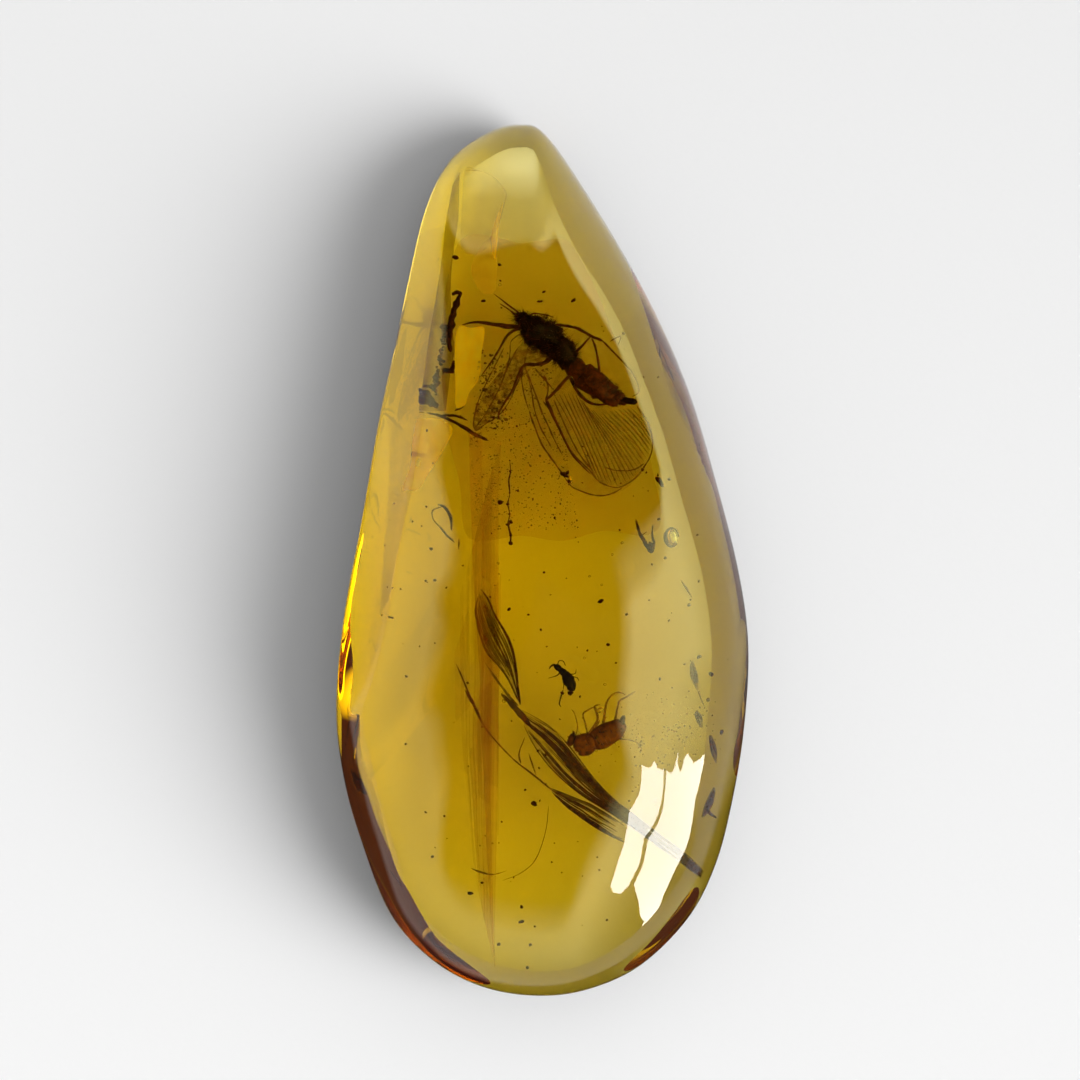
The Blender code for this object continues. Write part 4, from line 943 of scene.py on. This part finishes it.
class AMBER_OT_specks(bpy.types.Operator):
    """Makes the dust, the clouds of fine specks and the threads"""
    bl_idname = "amber.specks"
    bl_label = "Specks and Threads"

    def execute(self, context):
        rng = np.random.default_rng(42)
        dust = Shape()
        crumbs(dust, SPECKS, rng.uniform(0.12, 0.26, len(SPECKS)), 1)
        crumbs(dust, DOTS, rng.uniform(0.08, 0.2, len(DOTS)), 2, spread=0.1)
        tube(dust, lifted(DOTS, 0.0), [0.03, 0.05, 0.08, 0.04, 0.06, 0.03, 0.07, 0.1, 0.03], rough=0.9)
        tube(dust, [(6.23, -1.21, 0.1), (6.49, -1.64, 0.0), (6.74, -2.09, -0.1)], [0.03, 0.1, 0.03])
        crumbs(dust, [(5.49, -0.13)], [0.2], 3)
        tube(dust, [(-3.9, 7.36, 0.1), (-3.65, 7.48, 0.1), (-3.43, 7.64, 0.1)], [0.06, 0.14, 0.06],
             rough=0.5)
        crumbs(dust, [(-5.38, 5.1), (-5.25, 5.05), (-4.99, 5.28)], [0.2, 0.16, 0.24], 4, spread=0.1)
        # The crumbs down the seam at the side facet, and scattered dust all through the drop
        seam = [(-4.25 - 0.03 * k + rng.normal(0, 0.08), 11.6 - 0.17 * k) for k in range(20)]
        crumbs(dust, seam, rng.uniform(0.14, 0.34, len(seam)), 5, spread=0.25)
        loose = []
        while len(loose) < 150:
            x, y = rng.uniform(-7, 8), rng.uniform(-19, 16)
            if (x / 8.2) ** 2 + ((y + 3) / 18) ** 2 < 0.8:
                loose.append((x, y))
        crumbs(dust, loose, rng.uniform(0.05, 0.13, len(loose)), 6, spread=2.0)
        # Painted shade: a dark ring round the bubble by the right side where bent light leaves its rim dark,
        # thicker on its left
        tube(dust, lifted([(6.15, 0.9), (6.07, 1.2), (5.88, 1.36), (5.66, 1.31), (5.51, 1.06), (5.51, 0.74),
                           (5.66, 0.49), (5.88, 0.44), (6.07, 0.6)], 0.1),
             [0.09, 0.07, 0.08, 0.14, 0.2, 0.18, 0.13, 0.09, 0.09])
        crumbs(dust, [(0.75, 4.13), (0.93, 4.21), (0.91, 4.01)], [0.3, 0.2, 0.2], 12, spread=0.1)
        make_piece("dust", dust, [bark_material()])

        cloud = Shape()
        places = [(x, y) for x, y in zip(rng.normal(5.6, 1.3, 170), rng.normal(-8.9, 1.2, 170))]
        crumbs(cloud, places, rng.uniform(0.04, 0.1, len(places)), 7, spread=0.4)
        # Brown stipple round the wings
        near = [(x, y) for x, y in zip(rng.uniform(-3.2, 1.6, 1500), rng.uniform(1.4, 9.6, 1500))
                if x < 0.35 + (8.0 - y) * 0.18 and rng.uniform() < 0.75]
        crumbs(cloud, near, rng.uniform(0.03, 0.085, len(near)), 8, spread=0.35)
        wing = [(x, y) for x, y in zip(rng.normal(-2.3, 0.35, 120), rng.uniform(6.4, 10.2, 120))]
        crumbs(cloud, wing, rng.uniform(0.06, 0.14, len(wing)), 9, spread=0.2)
        # Fine specks of dark resin, a little paler than bark
        make_piece("stipple", cloud, [grained("resin_dust", linear("#3a1802"), linear("#6a3404"), 0.2, 0.7,
                                              opacity=0.6)])

        threads = Shape()
        for points, lift, widths, rough in [
            ([(-4.04, -5.27), (-3.32, -7.04), (-2.6, -8.52), (-1.52, -9.81), (-0.43, -10.69),
              (0.38, -11.38)], 0.1, [0.05, 0.13, 0.08, 0.06, 0.09, 0.1], 0.6),
            ([(-3.68, -6.45), (-3.32, -7.04), (-2.96, -7.74)], 0.1, [0.06, 0.18, 0.06], 0.5),
            ([(-0.88, -8.82), (-1.16, -9.61), (-1.07, -10.1)], 0.0, [0.04, 0.06, 0.1], 0.5),
            ([(-0.7, -9.61), (-0.34, -10.69)], 0.0, [0.04, 0.08, 0.04], 0.5),
            ([(-3.45, -15.25), (-2.95, -15.45), (-2.4, -15.55), (-1.71, -15.35)], 0.4,
             [0.05, 0.12, 0.06, 0.03], 0.6),
            ([(-1.94, -15.85), (-1.03, -15.45), (-0.34, -14.75), (0.11, -13.41), (0.25, -12.16)], 0.4,
             [0.03, 0.04, 0.03], 0.4),
            ([(-3.81, 0.97), (-3.81, 0.41)], 0.1, [0.05, 0.08, 0.04], 0.5),
        ]:
            tube(threads, lifted(points, lift), widths, rough=rough)
        make_piece("threads", threads, [grained("thread", linear("#4a2204"), linear("#7c4408"), 0.3, 0.6,
                                                opacity=0.8)])
        return {"FINISHED"}


# Outline of the painted shade: a brown sheet round the winged insect where its shadow darkens the amber
PAINTED_SHADE_CLOUD = [(-3.86, 15.79), (-1.94, 15.89), (-1.03, 15.64), (0.43, 15.89), (1.35, 14.69), (2.26, 12.79),
               (3.17, 10.2), (4.09, 7.3), (4.7, 4.31), (5.14, 1.81), (4.45, 0.97), (2.63, 1.27), (0.8, 0.82),
               (-1.03, 1.12), (-3.31, 0.97), (-3.68, 3.81), (-4.22, 6.8), (-4.32, 11.3)]
SEAM_LEFT = [(-4.56, 19.03), (-4.67, 16.74), (-4.76, 13.19), (-4.94, 11.47), (-5.12, 9.18), (-5.29, 7.34)]
SEAM_RIGHT = [(-4.13, 19.6), (-3.99, 17.19), (-4.07, 15.59), (-4.13, 13.76), (-3.99, 11.7), (-3.84, 10.32),
              (-4.04, 8.95), (-4.25, 7.34)]
CRACK_ARC = [(-3.99, 19.77), (-3.21, 19.71), (-2.47, 19.26), (-2, 18.68), (-1.84, 18.22), (-2.05, 17.19),
             (-2.32, 16.39), (-2.42, 15.36)]
CRACK_FACE = [(-3.99, 19.77), (-3.21, 19.71), (-2.47, 19.26), (-2, 18.68), (-1.84, 18.22), (-2.05, 17.19),
              (-2.32, 16.39), (-2.89, 15.36), (-3.84, 15.36), (-3.99, 17.19)]
# Outlines of painted glow: bright patches, a beam and a streak where light focused through the amber and
# caught by cracks is painted on films
GLOW_PATCH = [(-3.86, 11.41), (-3.31, 11.47), (-2.77, 11.41), (-2.84, 10.21), (-2.91, 8.95), (-3.26, 8.26),
              (-3.42, 7.63), (-3.84, 7.57), (-3.84, 8.95)]
GLOW_SOFT = [(-3, 15.59), (-2.37, 16.05), (-2.24, 14.9), (-2.32, 13.3), (-3, 13.3), (-3.42, 14.45)]
GLOW_STREAK = [(-1.97, 17.88), (-2.24, 16.85), (-2.37, 16.05), (-2.35, 14.9)]
GLOW_BEAM = [(-5.26, 7), (-4.04, 6.54), (-4.47, 5.4), (-5.15, 4.25), (-5.6, 3.45), (-6.19, 3.34),
             (-5.6, 4.6), (-5.6, 5.74)]
FLOW_LINES = [
    [(-3.31, 6.31), (-3.22, -0.18), (-2.95, -7.17), (-2.67, -14.65), (-2.4, -20.39)],
    [(-1.94, 5.81), (-2.03, -0.18), (-2.08, -7.17), (-2.22, -14.65), (-2.35, -20.39)],
    [(-3.86, -2.18), (-3.81, -7.17), (-3.63, -11.66), (-3.31, -15.15)],
    [(-2.72, 6.31), (-2.67, -0.18), (-2.58, -7.17), (-2.44, -14.65), (-2.35, -20.39)],
]


class AMBER_OT_flow(bpy.types.Operator):
    """Makes the flow streaks, the stained seam, the crack face, a brown sheet of painted shade and bright
    films of painted glow and glints
    """
    bl_idname = "amber.flow"
    bl_label = "Flow Marks and Cracks"

    def execute(self, context):
        flow, glow = Shape(), Shape()
        band, line, seam, face, cloud = range(5)
        strip(flow, FLOW_LINES[0], FLOW_LINES[1], 0.2, -0.2, band, count=60, across=8)
        strip(flow, FLOW_LINES[0], FLOW_LINES[3], 0.5, 0.3, band, count=60, across=4)
        rng = np.random.default_rng(33)
        left, right = evenly(FLOW_LINES[2], 24), evenly(FLOW_LINES[1], 24)
        for number in range(24):
            share, breadth = rng.uniform(-0.1, 1.05), rng.uniform(0.04,
                                                                  0.12) if number % 3 else rng.uniform(0.2,
                                                                                                       0.45)
            first, last = sorted(rng.integers(0, 24, 2))
            if last - first < 6:
                first, last = 0, 23
            wave = 0.05 * np.sin(np.linspace(0, 5, 24) + rng.uniform(0, 6))
            edges = [left[:, :2] * (1 - part)[:, None] + right[:, :2] * part[:, None]
                     for part in (share + wave - breadth / 2, share + wave + breadth / 2)]
            strip(flow, edges[0][first:last + 1], edges[1][first:last + 1], rng.uniform(-0.3, 0.4), 0.0,
                  line,
                  count=40)
        strip(flow, SEAM_LEFT, SEAM_RIGHT, 0.3, -0.3, seam, count=60, across=6)
        film(flow, CRACK_FACE, 0.6, face)
        # Painted shade: the brown sheet round the winged insect
        film(flow, PAINTED_SHADE_CLOUD, -0.7, cloud)
        tube(flow, lifted(CRACK_ARC, 0.6), [0.03, 0.07, 0.06, 0.07, 0.04], finish=line, rough=0.5)
        materials = [
            # Flow band: a slightly darker, browner flow of resin, uneven along its length
            grained("flow_band", linear("#9a4a00"), linear("#c87c04"), 1.2, 0.6, opacity=0.3,
                    patches=(1.5, 0.8),
                    stretch=(1.0, 0.12, 1.0)),
            grained("flow_line", linear("#8a3c00"), linear("#b86400"), 1.0, 0.6, opacity=0.22,
                    patches=(1.0, 0.8),
                    stretch=(1.0, 0.12, 1.0)),
            # Seam: the stained skin between two flows
            grained("seam_stain", linear("#3a1a02"), linear("#7a4404"), 0.7, 0.6, opacity=0.8,
                    patches=(0.8, 0.9),
                    stretch=(1.0, 0.3, 1.0)),
            grained("crack_skin", linear("#8a6a20"), linear("#a8842c"), 0.8, 0.4, opacity=0.25,
                    patches=(1.0, 0.8)),
            # Painted shade: a brown sheet round the winged insect that darkens the amber where its shadow
            # falls
            grained("painted_shade_cloud", linear("#9a3a00"), linear("#c86000"), 2.0, 0.6, opacity=0.32,
                    patches=(3.0, 1.4)),
        ]
        make_piece("flow_marks", flow, materials)

        # Painted light: bright films and a bead where the amber glows with focused light and glints
        film(glow, GLOW_PATCH, 0.15, 0)
        film(glow, GLOW_BEAM, 0.3, 0)
        film(glow, GLOW_SOFT, 0.5, 1)
        tube(glow, lifted(GLOW_STREAK, 0.55), [0.08, 0.26, 0.36, 0.14], finish=0, flat=0.4)
        # Painted glint: a small bright bead beside the winged insect
        egg(glow, (1.03, 3.91, 0.2), (0.16, 0.3, 0.12), 10, finish=0, lumps=0.2, grain=6.0)
        bright = [
            # Painted glint: a bright orange film standing in for light caught by a crack and focused through
            # the amber
            grained("painted_glint", linear("#ffc400"), linear("#ffe040"), 0.9, 0.4, opacity=0.85,
                    patches=(1.2, 0.9),
                    stretch=(1.0, 0.4, 1.0)),
            # Painted glow: a softer bright film of focused light
            grained("painted_soft_glint", linear("#d09000"), linear("#f0c020"), 0.9, 0.4, opacity=0.5,
                    patches=(1.0, 0.8)),
        ]
        make_piece("painted_glints", glow, bright)
        return {"FINISHED"}


# ------------------------------------------------------------------ the stage

# Where the floor is mirrored dark, in mm: middle and reach of an oval at the lower left and lower right
MIRROR_SHADE = [((-6.0, -10.5), (18.5, 17.0)), ((6.0, -22.0), (12.0, 11.5))]
CAMERA_VIEW = 55.2            # width of the view at the height VIEW_HEIGHT, in mm
VIEW_HEIGHT = 4.5
CAMERA_AT = (-0.17, 0.98)
CAMERA_LENS = 100.0
SENSOR = 36.0
WINDOW_WAY = Vector((0.7, -0.34, 0.63)).normalized()
WINDOW_ACROSS = Vector((0.62, -0.14, -0.77))
WINDOW_FAR = 0.6
# The outlines of its panes, as shares of its distance across and up; their edges are ragged with blinds
WINDOW_PANES = [
    [(-0.195, 0.035), (-0.253, -0.206), (-0.177, -0.301), (-0.089, -0.478), (-0.03, -0.505), (0.04, -0.5),
     (0.06, -0.45), (0.03, -0.361), (-0.05, -0.274), (0.09, 0.094), (0.1, 0.14), (0.03, 0.12),
     (-0.017, 0.135),
     (-0.1, 0.07)],
    [(0.135, 0.146), (0.12, 0.094), (-0.015, -0.274), (0.065, -0.361), (0.1, -0.446), (0.281, -0.535),
     (0.5, -0.66), (0.64, -0.71), (0.79, -0.86), (0.729, -0.648), (0.6, -0.54), (0.493, -0.399),
     (0.606, -0.136),
     (0.72, 0.138), (0.95, 0.25), (0.566, 0.187), (0.429, 0.2), (0.35, 0.175), (0.272, 0.185), (0.2, 0.15)],
]
LIGHT_WAY = Vector((0.78, -0.26, 0.57)).normalized()
# The camera and the holder it hangs from, as the drop's skin mirrors them: the values between which
# each soft border rises, and for the camera where it starts, is full, is last full and is gone
HOLDER_WEST = (-0.93, -0.87)
HOLDER_SLANT = (-0.46, -0.38)
HOLDER_NORTH = (0.7, 0.67)
HOLDER_EAST = (0.17, 0.23)
HOLDER_SOUTH = (-0.1, 0.0)
CAMERA_ACROSS = (-0.9, -0.6, 0.5, 0.68)
CAMERA_ALONG = (-1.9, -1.1, 0.4, 0.6)
CORNER_WAY = Vector((0.77, -0.62, 0.12)).normalized()
WALL_COLOUR = (3.0, 2.9, 1.5, 1.0)
CAMERA_COLOUR = (0.05, 0.04, 0.03, 1.0)
WINDOW_COLOUR = (1.0, 0.99, 0.88, 1.0)
# Soft patches of the sky: the cosines from the way where they start and are full, and their brightness
LIGHT_PATCH = (0.9, 0.985, 8.3)
CORNER_PATCH = (0.8, 0.96, 0.75)
WINDOW_PATCH = (0.8, 0.95)
# Colours by height, or towards the far wall: place from 0 to 1, and colour
ROOM_SKY = [(0.0, (0.75,) * 3), (0.62, (0.75,) * 3), (0.86, (0.55,) * 3), (0.93, (0.45,) * 3)]
FAR_WALL = [(0.0, (1.0,) * 3), (0.6, (1.0,) * 3), (0.69, (0.5,) * 3), (0.82, (0.6,) * 3), (0.95, (1.9,) * 3)]
INSIDE_SKY = [(0.0, (0.1, 0.035, 0.02)), (0.28, (0.1, 0.035, 0.02)), (0.55, (0.37,) * 3), (1.0, (0.37,) * 3)]
ROOM_EAST, ROOM_NORTH = 0.8, 0.45      # how far the room's bright side lies to the east and to the north
FLOOR_SIZE = 3.0                       # in metres
FLOOR_GAP = 0.05                       # how far the floor lies under the drop's flat, in mm
FLOOR_TOOTH = 0.6                      # size of the floor's grain, in mm
FLOOR_FRONT = 0.028                    # where the floor's brightness stops changing, in metres
FLOOR_TONES = (0.94, 1.02)             # its brightness at the back and at the front
FLOOR_DRIFT = 0.015                    # how much its brightness wanders
SHADE_FADE = (0.95, 1.3)               # where the mirrored dark starts to fade and ends, 1 at its oval
SHADE_DEPTH = 0.95
SHADE_GRID = 30                        # squares along each side of the cube that the shade is drawn from
SHADE_SCALE = (1.012, 1.006, 1.012, 1)


def floor_material(colour):
    """Matt white board, a little paler towards its front, with a fine tooth.  Where the steep sides of the
    drop mirror it close to the drop, painted shade darkens it for mirrored rays only."""
    material, tree = new_material("pale_board")
    place = add_node(tree, "ShaderNodeTexCoord")
    split = add_node(tree, "ShaderNodeSeparateXYZ", {0: place.outputs["Object"]})
    drift = add_node(tree, "ShaderNodeTexNoise", {"Vector": place.outputs["Object"]}, Scale=6.0, Detail=1.0)
    tooth = add_node(tree, "ShaderNodeTexNoise", {"Vector": place.outputs["Object"]},
                     Scale=1 / (FLOOR_TOOTH * MM), Detail=2.0)
    tone = add_node(tree, "ShaderNodeMapRange", {"Value": drift.outputs["Fac"]}, To_Min=1 - FLOOR_DRIFT,
                    To_Max=1 + FLOOR_DRIFT)
    front = add_node(tree, "ShaderNodeMapRange", {"Value": split.outputs["Y"]}, From_Min=FLOOR_FRONT,
                     From_Max=-FLOOR_FRONT,
                     To_Min=FLOOR_TONES[0], To_Max=FLOOR_TONES[1])
    rays = add_node(tree, "ShaderNodeLightPath")
    mirrored = calculate(tree, "GREATER_THAN", calculate(tree, "SUBTRACT", rays.outputs["Is Glossy Ray"],
                                                         rays.outputs["Is Transmission Ray"]), 0.5)
    lit = 1.0
    for middle, reach in MIRROR_SHADE:
        off = add_node(tree, "ShaderNodeVectorMath", {0: place.outputs["Object"]}, operation="SUBTRACT")
        off.inputs[1].default_value = (middle[0] * MM, middle[1] * MM, 0)
        scaled = add_node(tree, "ShaderNodeVectorMath", {0: off.outputs[0]}, operation="DIVIDE")
        scaled.inputs[1].default_value = (reach[0] * MM, reach[1] * MM, 1)
        far = add_node(tree, "ShaderNodeVectorMath", {0: scaled.outputs[0]}, operation="LENGTH")
        near = add_node(tree, "ShaderNodeMapRange", {"Value": far.outputs["Value"]}, From_Min=SHADE_FADE[0],
                        From_Max=SHADE_FADE[1], To_Min=SHADE_DEPTH, To_Max=0.0)
        mirrored_near = calculate(tree, "MULTIPLY", mirrored, near.outputs["Result"])
        lit = calculate(tree, "MULTIPLY", lit, calculate(tree, "SUBTRACT", 1.0, mirrored_near))
    shade = calculate(tree, "MULTIPLY", calculate(tree, "MULTIPLY", tone.outputs["Result"],
                                                  front.outputs["Result"]),
                      lit)
    tinted = add_node(tree, "ShaderNodeVectorMath", {1: shade}, operation="MULTIPLY")
    tinted.inputs[0].default_value = colour
    bump = add_node(tree, "ShaderNodeBump", {"Height": tooth.outputs["Fac"]}, Strength=0.2,
                    Distance=0.02 * MM)
    shader = add_node(tree, "ShaderNodeBsdfPrincipled",
                      {"Base Color": tinted.outputs[0], "Normal": bump.outputs["Normal"]}, Roughness=0.9)
    shader.inputs["Specular IOR Level"].default_value = 0.1
    add_node(tree, "ShaderNodeOutputMaterial", {"Surface": shader.outputs[0]})
    return material


def height_ramp(tree, height, stops):
    """Colour by a share of the way, such as the height in the sky: 0 at the horizon and 1 overhead"""
    ramp = add_node(tree, "ShaderNodeValToRGB", {"Fac": height})
    elements = ramp.color_ramp.elements
    elements[0].position, elements[1].position = stops[0][0], stops[-1][0]
    elements[0].color, elements[1].color = (*stops[0][1], 1), (*stops[-1][1], 1)
    for position, colour in stops[1:-1]:
        elements.new(position).color = (*colour, 1)
    return ramp.outputs["Color"]


def soft_range(tree, value, edges):
    """1 between the two middle edges and 0 outside the outer ones"""
    rise = add_node(tree, "ShaderNodeMapRange", {"Value": value}, From_Min=edges[0], From_Max=edges[1])
    fall = add_node(tree, "ShaderNodeMapRange", {"Value": value}, From_Min=edges[3], From_Max=edges[2])
    return calculate(tree, "MULTIPLY", rise.outputs["Result"], fall.outputs["Result"])


def calculate(tree, operation, first, second):
    """A math node over sockets or numbers"""
    node = add_node(tree, "ShaderNodeMath", operation=operation)
    for place, value in enumerate((first, second)):
        if isinstance(value, bpy.types.NodeSocket):
            tree.links.new(value, node.inputs[place])
        else:
            node.inputs[place].default_value = value
    return node.outputs[0]


def weighed(tree, first, second):
    """The sum of two sockets, each with its weight"""
    parts = [calculate(tree, "MULTIPLY", socket, weight) for socket, weight in (first, second)]
    return calculate(tree, "ADD", *parts)


def lobe(tree, direction, way, outer, inner, brightness):
    """A soft bright patch of the sky around a way; its edges are cosines of the angle from it"""
    aim = add_node(tree, "ShaderNodeVectorMath", {0: direction}, operation="DOT_PRODUCT")
    aim.inputs[1].default_value = way
    patch = add_node(tree, "ShaderNodeMapRange", {"Value": aim.outputs["Value"]}, From_Min=outer,
                     From_Max=inner,
                     To_Max=brightness)
    return patch.outputs["Result"]


def make_world(settings):
    """A soft room with its window wall on the right.  It has three skies: one that lights the floor,
    one that the polished skin mirrors, with the dark shape of the camera and its holder overhead, and
    one that is seen through the amber."""
    world = bpy.data.worlds.new("room")
    bpy.context.scene.world = world
    world.use_nodes = True
    tree = world.node_tree
    tree.nodes.clear()
    place = add_node(tree, "ShaderNodeTexCoord")
    split = add_node(tree, "ShaderNodeSeparateXYZ", {0: place.outputs["Generated"]})
    east, north, height = split.outputs
    room = height_ramp(tree, height, ROOM_SKY)
    facing = weighed(tree, (east, ROOM_EAST), (north, ROOM_NORTH))
    side = add_node(tree, "ShaderNodeMapRange", {"Value": facing}, From_Min=-0.7, From_Max=0.7, To_Min=0.45,
                    To_Max=1.0)
    room_light = calculate(tree, "ADD", calculate(tree, "MULTIPLY", room, side.outputs["Result"]),
                           lobe(tree, place.outputs["Generated"], LIGHT_WAY, *LIGHT_PATCH))

    flat_height = calculate(tree, "MAXIMUM", height, 0.05)
    across = calculate(tree, "DIVIDE", east, flat_height)
    along = calculate(tree, "DIVIDE", north, flat_height)
    camera = calculate(tree, "MULTIPLY",
                       soft_range(tree, weighed(tree, (across, 1.0), (along, -0.2)), CAMERA_ACROSS),
                       soft_range(tree, along, CAMERA_ALONG))
    southward = calculate(tree, "ADD", calculate(tree, "MULTIPLY", north, -2.6), 0.884)
    low_north = calculate(tree, "MAXIMUM", southward, 0.0)
    westward = calculate(tree, "MAXIMUM", calculate(tree, "MULTIPLY", east, -3.0), 0.0)
    borders = [
        (east, HOLDER_WEST),
        (weighed(tree, (east, 1.0), (north, 1.7)), HOLDER_SLANT),
        (weighed(tree, (north, 1.0), (calculate(tree, "ABSOLUTE", east, 0.0), 0.1)), HOLDER_NORTH),
        (weighed(tree, (calculate(tree, "ADD", height, westward), 1.0), (low_north, -1.0)), HOLDER_EAST),
        (weighed(tree, (along, 1.0), (across, -0.33)), HOLDER_SOUTH),
    ]
    holder = 1.0
    for value, (outer, inner) in borders:
        border = add_node(tree, "ShaderNodeMapRange", {"Value": value}, From_Min=outer, From_Max=inner)
        holder = calculate(tree, "MULTIPLY", border.outputs["Result"], holder)
    wall = add_node(tree, "ShaderNodeMapRange", {"Value": facing}, From_Min=-0.8, From_Max=0.8, To_Min=0.6,
                    To_Max=1.85)
    low = add_node(tree, "ShaderNodeMapRange", {"Value": height}, From_Min=0.0, From_Max=0.3, To_Min=0.6,
                   To_Max=1.0)
    walls = calculate(tree, "MULTIPLY", wall.outputs["Result"], low.outputs["Result"])
    # The far wall: dim just beyond the camera, and bright low down
    walls = calculate(tree, "MULTIPLY", walls, height_ramp(tree, north, FAR_WALL))
    corner = lobe(tree, place.outputs["Generated"], CORNER_WAY, *CORNER_PATCH)
    walls = calculate(tree, "MULTIPLY", walls, calculate(tree, "SUBTRACT", 1.0, corner))
    mirrored = calculate(tree, "MULTIPLY", walls, calculate(tree, "SUBTRACT", 1.0, holder))
    warm = add_node(tree, "ShaderNodeMix", data_type="RGBA")
    tree.links.new(camera, warm.inputs[0])
    warm.inputs[6].default_value, warm.inputs[7].default_value = WALL_COLOUR, CAMERA_COLOUR

    dim = height_ramp(tree, height, INSIDE_SKY)
    bright = lobe(tree, place.outputs["Generated"], WINDOW_WAY, *WINDOW_PATCH, settings.window_inside)
    gathered = add_node(tree, "ShaderNodeVectorMath", {0: dim, 1: bright}, operation="ADD").outputs[0]

    rays = add_node(tree, "ShaderNodeLightPath")
    plain = add_node(tree, "ShaderNodeBackground", {"Color": room_light}, Strength=settings.sky)
    mirror = add_node(tree, "ShaderNodeBackground", {"Strength": mirrored, "Color": warm.outputs[2]})
    inside = add_node(tree, "ShaderNodeBackground", {"Color": gathered}, Strength=settings.inside)
    first = add_node(tree, "ShaderNodeMixShader", {0: rays.outputs["Is Glossy Ray"], 1: plain.outputs[0],
                                                   2: mirror.outputs[0]})
    second = add_node(tree, "ShaderNodeMixShader", {0: rays.outputs["Is Transmission Ray"],
                                                    1: first.outputs[0],
                                                    2: inside.outputs[0]})
    add_node(tree, "ShaderNodeOutputWorld", {"Surface": second.outputs[0]})


def seen_only_by(piece, ray):
    """Hides a stage piece from every kind of ray but one"""
    for kind in ("camera", "diffuse", "glossy", "transmission", "volume_scatter", "shadow"):
        setattr(piece, "visible_" + kind, kind == ray)


def make_window(brightness):
    """The two bright panes of the window, which only the polished skin mirrors"""
    across = (WINDOW_ACROSS - WINDOW_WAY * WINDOW_ACROSS.dot(WINDOW_WAY)).normalized()
    up = WINDOW_WAY.cross(across).normalized()
    mesh = bpy.data.meshes.new("window")
    points, faces = [], []
    for pane in WINDOW_PANES:
        faces.append(range(len(points), len(points) + len(pane)))
        points.extend((WINDOW_WAY + across * x + up * y) * WINDOW_FAR for x, y in pane)
    mesh.from_pydata(points, [], faces)
    material, tree = new_material("window_light")
    glow = add_node(tree, "ShaderNodeEmission", Strength=brightness)
    glow.inputs["Color"].default_value = WINDOW_COLOUR
    add_node(tree, "ShaderNodeOutputMaterial", {"Surface": glow.outputs[0]})
    material.cycles.emission_sampling = "NONE"
    mesh.materials.append(material)
    window = add_object("window", mesh)
    seen_only_by(window, "glossy")


def make_shade():
    """A dark shell over the drop that only the floor's own light meets, so that the drop's shadow
    stays soft and grey beside it"""
    bm = drop_mesh(SHADE_GRID)
    bm.transform(Matrix.Diagonal(SHADE_SCALE))
    mesh = bpy.data.meshes.new("shade")
    bm.to_mesh(mesh)
    bm.free()
    material, tree = new_material("shade")
    shader = add_node(tree, "ShaderNodeBsdfDiffuse", Color=(0, 0, 0, 1))
    add_node(tree, "ShaderNodeOutputMaterial", {"Surface": shader.outputs[0]})
    mesh.materials.append(material)
    shade = add_object("shade", mesh)
    seen_only_by(shade, "diffuse")


class AMBER_OT_stage(bpy.types.Operator):
    """Makes the floor, the window, the room light and the camera"""
    bl_idname = "amber.stage"
    bl_label = "Stage"

    def execute(self, context):
        settings = context.scene.amber_stage
        bpy.ops.mesh.primitive_plane_add(size=FLOOR_SIZE, location=(0, 0, -FLOOR_GAP * MM))
        floor = context.object
        floor.name = "floor"
        floor.data.materials.append(floor_material(settings.floor))
        make_shade()
        make_world(settings)
        make_window(settings.window)
        camera = bpy.data.cameras.new("camera")
        camera.lens, camera.sensor_width = CAMERA_LENS, SENSOR
        holder = add_object("camera", camera)
        away = CAMERA_VIEW * CAMERA_LENS / SENSOR
        holder.location = (CAMERA_AT[0] * MM, CAMERA_AT[1] * MM, (VIEW_HEIGHT + away) * MM)
        camera.clip_start, camera.clip_end = 0.01, 20.0
        context.scene.camera = holder
        context.scene.view_settings.view_transform = "Standard"
        cycles = context.scene.cycles
        cycles.max_bounces = cycles.transmission_bounces = cycles.transparent_max_bounces = LIGHT_BOUNCES
        cycles.diffuse_bounces = 6
        cycles.glossy_bounces = 16
        return {"FINISHED"}


# ------------------------------------------------------------------ the add-on

OPERATORS = (AMBER_OT_drop, AMBER_OT_winged_insect, AMBER_OT_small_insects, AMBER_OT_plants, AMBER_OT_bark,
             AMBER_OT_specks, AMBER_OT_flow, AMBER_OT_stage)
SETTINGS = {"amber_drop": AmberSettings, "amber_insects": InsectSettings, "amber_plants": PlantSettings,
            "amber_stage": StageSettings}


class AMBER_PT_panel(bpy.types.Panel):
    """Lists the pieces of the insect in amber and their settings"""
    bl_label = "Insect in Amber"
    bl_idname = "AMBER_PT_panel"
    bl_space_type = "VIEW_3D"
    bl_region_type = "UI"
    bl_category = "Amber"

    def draw(self, context):
        for operator in OPERATORS:
            self.layout.operator(operator.bl_idname)
        for name, group in SETTINGS.items():
            box = self.layout.box()
            for key in group.__annotations__:
                box.prop(getattr(context.scene, name), key)


def register():
    for group in SETTINGS.values():
        bpy.utils.register_class(group)
    for cls in (*OPERATORS, AMBER_PT_panel):
        bpy.utils.register_class(cls)
    for name, group in SETTINGS.items():
        setattr(bpy.types.Scene, name, PointerProperty(type=group))


def unregister():
    for name in SETTINGS:
        delattr(bpy.types.Scene, name)
    for cls in (AMBER_PT_panel, *reversed(OPERATORS)):
        bpy.utils.unregister_class(cls)
    for group in reversed(SETTINGS.values()):
        bpy.utils.unregister_class(group)


def main():
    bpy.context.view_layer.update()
    register()
    for operator in OPERATORS:
        section, action = operator.bl_idname.split(".")
        getattr(getattr(bpy.ops, section), action)()


if __name__ == "__main__":
    main()
